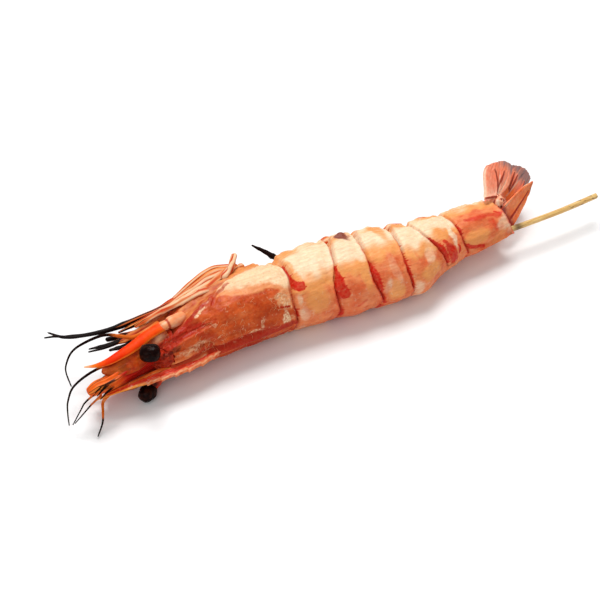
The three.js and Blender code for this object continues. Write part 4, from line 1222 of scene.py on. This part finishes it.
def marginPaint(u, angle, x):
    # The upper side is painted less red, a painted highlight along the top of the margin.
    red = 1.1 * ease((u - 0.16) / 0.24) * ease((0.84 - u) / 0.14) * (0.75 - 0.45 * sin(angle))
    edge = 0.8 * hump((cos(angle) + 0.97) / 0.07) * (1 - 0.4 * u)
    pale = 0.9 * ease((u - 0.88) / 0.1) + 0.25 * ease((0.1 - u) / 0.1)
    return pale, red - edge, 0, edge + 0.6 * ease((u - 0.8) / 0.1)


def marginSection(u, angle, x):
    ripple = 0.03 * rough(u * 9, angle * 2)
    return 1.05 + ripple, 0.62 + ripple


# The strongest of several such lines at a point.
def nearest(lines, u, w, reach):
    return max(crease(u, w, line, reach) for line in lines)


def fanRelief(creases, ribs):
    def relief(u, w):
        deep, high = nearest(creases, u, w, 0.06), nearest(ribs, u, w, 0.05)
        return -0.5 * deep + 0.5 * high + 0.08 * sin(w * 30) * u
    return relief


def fanPaint(creases, ribs, tipAt, root=0.0, orange=(0, 0, 1, 1, 0)):
    def paint(u, w):
        veins = 0.5 + 0.5 * rough(u * 1.5, w * 12, 6) + 0.35 * rough(u * 3, w * 30, 2)
        tip = ease((u - tipAt + 0.1 * rough(w * 2.5, u * 2, 3) + 0.12 * w) / 0.34) * (0.5 + 0.6 * veins)
        deep, high = nearest(creases, u, w, 0.035), nearest(ribs, u, w, 0.04)
        glow = orange[4] * hump(hypot((u - orange[0]) / orange[2], (w - orange[1]) / orange[3]))
        pale = 1.15 * high + 0.4 * ease((0.4 - u) / 0.3) * (1 - root)
        pale += 0.35 * (veins - 0.4) - 0.4 * tip - 0.6 * glow
        red = 1.1 * deep + root * ease((0.26 - u) / 0.2) + 0.25 * rough(u * 4, w * 3, 2)
        return pale, red, 0.9 * tip - 0.5 * deep, 0.1 + glow + 0.3 * rough(u * 3, w * 4, 8)
    return paint


# Creases and ribs of a blade are (from, to) in shares along and across it. Its tip is grey from the
# share tipAt, and root is how red its root is. Orange is a glowing spot: share along, share across,
# its two reaches, its strength.
fanMarks = {
    "uropod_right_outer": {
        "creases": [((0.74, -0.42), (0.2, 0.35)), ((0.76, 0.3), (0.34, 0.25)), ((0.02, -0.95), (0.05, 0.8))],
        "ribs": [((0.9, -0.1), (0.12, 0.5)), ((0.9, -0.95), (0.1, -0.95)), ((0.8, 0.7), (0.2, 0.7))],
        "tipAt": 0.74},
    "uropod_right_inner": {
        "creases": [((0.78, -0.36), (0.42, -0.12)), ((0.78, -0.1), (0.4, 0.02)), ((0.8, 0.5), (0.62, 0.75))],
        "ribs": [((0.9, 0.2), (0.3, 0.1)), ((0.98, 0.97), (0.12, 0.9)), ((0.24, 0.0), (0.14, 0.75))],
        "tipAt": 0.56, "orange": (0.32, 0.3, 0.2, 0.6, 1.0)},
    "telson": {
        "creases": [((0.8, 0.25), (0.2, 0.35))], "ribs": [((1.0, -0.9), (0.22, -0.82))],
        "tipAt": 0.86, "root": 1, "orange": (0.55, 0.3, 0.4, 0.6, 0.5)},
}


def otherWay(lines):
    return [tuple((u, -w) for u, w in line) for line in lines]


for part in ("outer", "inner"):
    marks = fanMarks[f"uropod_right_{part}"]
    fanMarks[f"uropod_left_{part}"] = {"creases": otherWay(marks["creases"]), "ribs": otherWay(marks["ribs"]),
                                       "tipAt": marks["tipAt"]}
leaves = {
    "scale_right": {"root": (-57.6, 9.6, -3.6), "tip": (-86, 7.3, 2.6), "across": (0, -0.42, 0.9),
                    "width": 9.0, "taper": 0.6, "lean": 1, "end": 0.5},
    "scale_left": {"root": (-57.6, -9.6, -3.6), "tip": (-85, -8.0, 2.4), "across": (0, 0.42, 0.9),
                   "width": 9.0, "taper": 0.6, "lean": 1, "end": 0.5},
    "telson": {"root": (99.6, -0.1, -1.5), "tip": (124.0, 2.1, -14.4), "across": (0.32, -0.85, 0.42),
               "width": 12.2, "taper": 1, "point": 0.6, "cup": -0.12, "end": 0.3, "shear": 0.04},
    "uropod_right_outer": {
        "root": (96.9, 7.8, -8.8), "tip": (110.5, 12.7, -22.4), "across": (0.66, -0.6, 0.44), "width": 14.6,
        "taper": 0.5, "cup": 0.08, "end": 0.82, "blunt": 8, "slant": 0.2, "shear": 0.135},
    "uropod_right_inner": {
        "root": (102.0, 1.3, -8.8), "tip": (123.8, 3.8, -22.0), "across": (0.43, -0.76, 0.49), "width": 17.0,
        "taper": 0.4, "cup": 0.08, "end": 0.85, "blunt": 8, "slant": 0.156, "shear": 0.08},
    "uropod_left_outer": {
        "root": (97.6, -7.4, -11.8), "tip": (108.8, -11.6, -24.0), "across": (0.67, 0.6, 0.44), "width": 10.8,
        "taper": 0.6, "cup": 0.1, "end": 0.6, "blunt": 7, "slant": 0.16},
    "uropod_left_inner": {
        "root": (101.2, -5.2, -8.8), "tip": (119.7, -6.6, -19.2), "across": (0.4, 0.75, 0.5), "width": 8.2,
        "taper": 0.45, "cup": 0.1, "end": 0.6, "blunt": 7, "slant": 0.1},
}
leafWall = 0.6
for count, (name, leaf) in enumerate(leaves.items()):
    if name in fanMarks:
        marks = fanMarks[name]
        relief, paint, slotName = fanRelief(marks["creases"], marks["ribs"]), fanPaint(**marks), "tail_fan"
        finish = "telson" if name == "telson" else "fan"
    else:
        relief, paint, slotName, finish = scaleRelief, scalePaint, "head_limb", "blade"
    form = leafForm(plainLeaf | leaf | {"seed": count * 3.7, "relief": relief, "paint": paint})
    finishPiece(form, pieceName(name), finish, [name], leafWall, offset=0.0)

# The short joints that carry the blades of the fan.
fanBases = {
    "fan_base_right": [(97.0, 3.4, -6.0, 2.8), (99.8, 4.8, -8.4, 3.0), (103.0, 5.4, -10.8, 2.0)],
    "fan_base_left": [(97.0, -3.4, -6.2, 2.8), (99.6, -5.6, -9.2, 3.0), (102.4, -7.0, -11.8, 1.8)],
}


def fanBasePaint(u, angle, x):
    red = 0.9 * ease((rough(u * 5, angle * 2.4, 9) - 0.1) * 4)
    return 0.5 + 0.6 * rough(u * 4, angle * 2, 3), red, 0, 0.6


for count, (name, stops) in enumerate(fanBases.items()):
    section = legSection(60 + count, joints=0, flat=0.9)
    form = limbForm(stops, sides=32, steps=50, section=section, paint=fanBasePaint)
    finishPiece(form, pieceName(name), "fan", [name])

# The stiff outer margin of each antennal scale ends in a pale spine.
scaleMargin = [(-57.2, 9.8, -3.6, 2.1), (-64, 9.4, -2.2, 2.1), (-71, 9.0, 0.2, 2.1), (-77, 8.5, 1.4, 1.8),
               (-82, 8.0, 2.0, 1.4), (-86.5, 7.3, 1.2, 0.8), (-90.4, 6.8, -0.4, 0.25)]
for name, stops in (("Right", scaleMargin), ("Left", mirrored(scaleMargin))):
    form = limbForm(stops, sides=40, steps=150, section=marginSection, paint=marginPaint, capLength=0.35)
    finishPiece(form, f"scaleMargin{name}", "band", [f"scale_{name.lower()}"])
print("blades made")

# Skewer, with a dark band just past where it leaves the tail and dark flecks towards its far end.
skewer = {"stops": [(-32, 0, 3.2, 1.2), (60, 0, 3.2, 1.2), (122, 0, 4.0, 1.2), (146.5, 0, 3.0, 1.2)],
          "fleckedFrom": 128, "darkBandAt": 103}


def skewerSection(u, angle, x):
    facet = 1 - 0.05 * cos(angle * 5) + 0.04 * rough(x * 0.08, angle * 2) + 0.02 * rough(x * 0.5, angle * 4)
    return facet, facet


def skewerPaint(u, angle, x):
    fleck = ease((rough(x * 0.5, angle * 1.2, 4) - 0.25) * 5) * ease((x - skewer["fleckedFrom"]) / 6)
    return 0, 0, clamp(0.8 * fleck + 0.8 * hump((x - skewer["darkBandAt"]) / 2.4)), 0


form = limbForm(skewer["stops"], sides=40, steps=500, section=skewerSection, paint=skewerPaint,
                capLength=0.25)
finishPiece(form, "skewerStick", "bamboo", ["skewer"])

# Floor and light.
stageSet = {
    "floor": 6.0, "tones": ((0.93, 0.93, 0.93, 1), (0.95, 0.95, 0.95, 1)), "roughness": 0.28, "shine": 0.35,
    "sky": 0.42, "key": 9.1, "keySize": 0.5, "keyAt": (0.18, 0.42, 0.95),
    "fill": 2.8, "fillSize": 0.8, "fillAt": (-0.7, -0.6, 0.7),
}


def stageFinish():
    material, tree, shader = newMaterial("paleFloor")
    where = addNode(tree, "ShaderNodeTexCoord").outputs["Object"]
    cloud = grain(tree, where, 3, 2).outputs[0]
    tree.links.new(blend(tree, cloud, *stageSet["tones"]), shader.inputs["Base Color"])
    shader.inputs["Roughness"].default_value = stageSet["roughness"]
    shader.inputs["Specular IOR Level"].default_value = stageSet["shine"]
    return material


form = bmesh.new()
bmesh.ops.create_grid(form, x_segments=4, y_segments=4, size=stageSet["floor"])
floorMesh = bpy.data.meshes.new("floor")
form.to_mesh(floorMesh)
form.free()
floorMesh.materials.append(stageFinish())
floor = bpy.data.objects.new("floor", floorMesh)
bpy.context.scene.collection.objects.link(floor)

world = bpy.data.worlds.new("studio")
world.use_nodes = True
world.node_tree.nodes["Background"].inputs[0].default_value = (1, 1, 1, 1)
world.node_tree.nodes["Background"].inputs[1].default_value = stageSet["sky"]
bpy.context.scene.world = world


def addLight(name, location, power, size):
    lamp = bpy.data.lights.new(name, "AREA")
    lamp.energy, lamp.size = power, size
    holder = bpy.data.objects.new(name, lamp)
    holder.location = location
    holder.rotation_euler = (-Vector(location)).to_track_quat("-Z", "Y").to_euler()
    bpy.context.scene.collection.objects.link(holder)


addLight("key", stageSet["keyAt"], stageSet["key"], stageSet["keySize"])
addLight("fill", stageSet["fillAt"], stageSet["fill"], stageSet["fillSize"])
print("stage made")
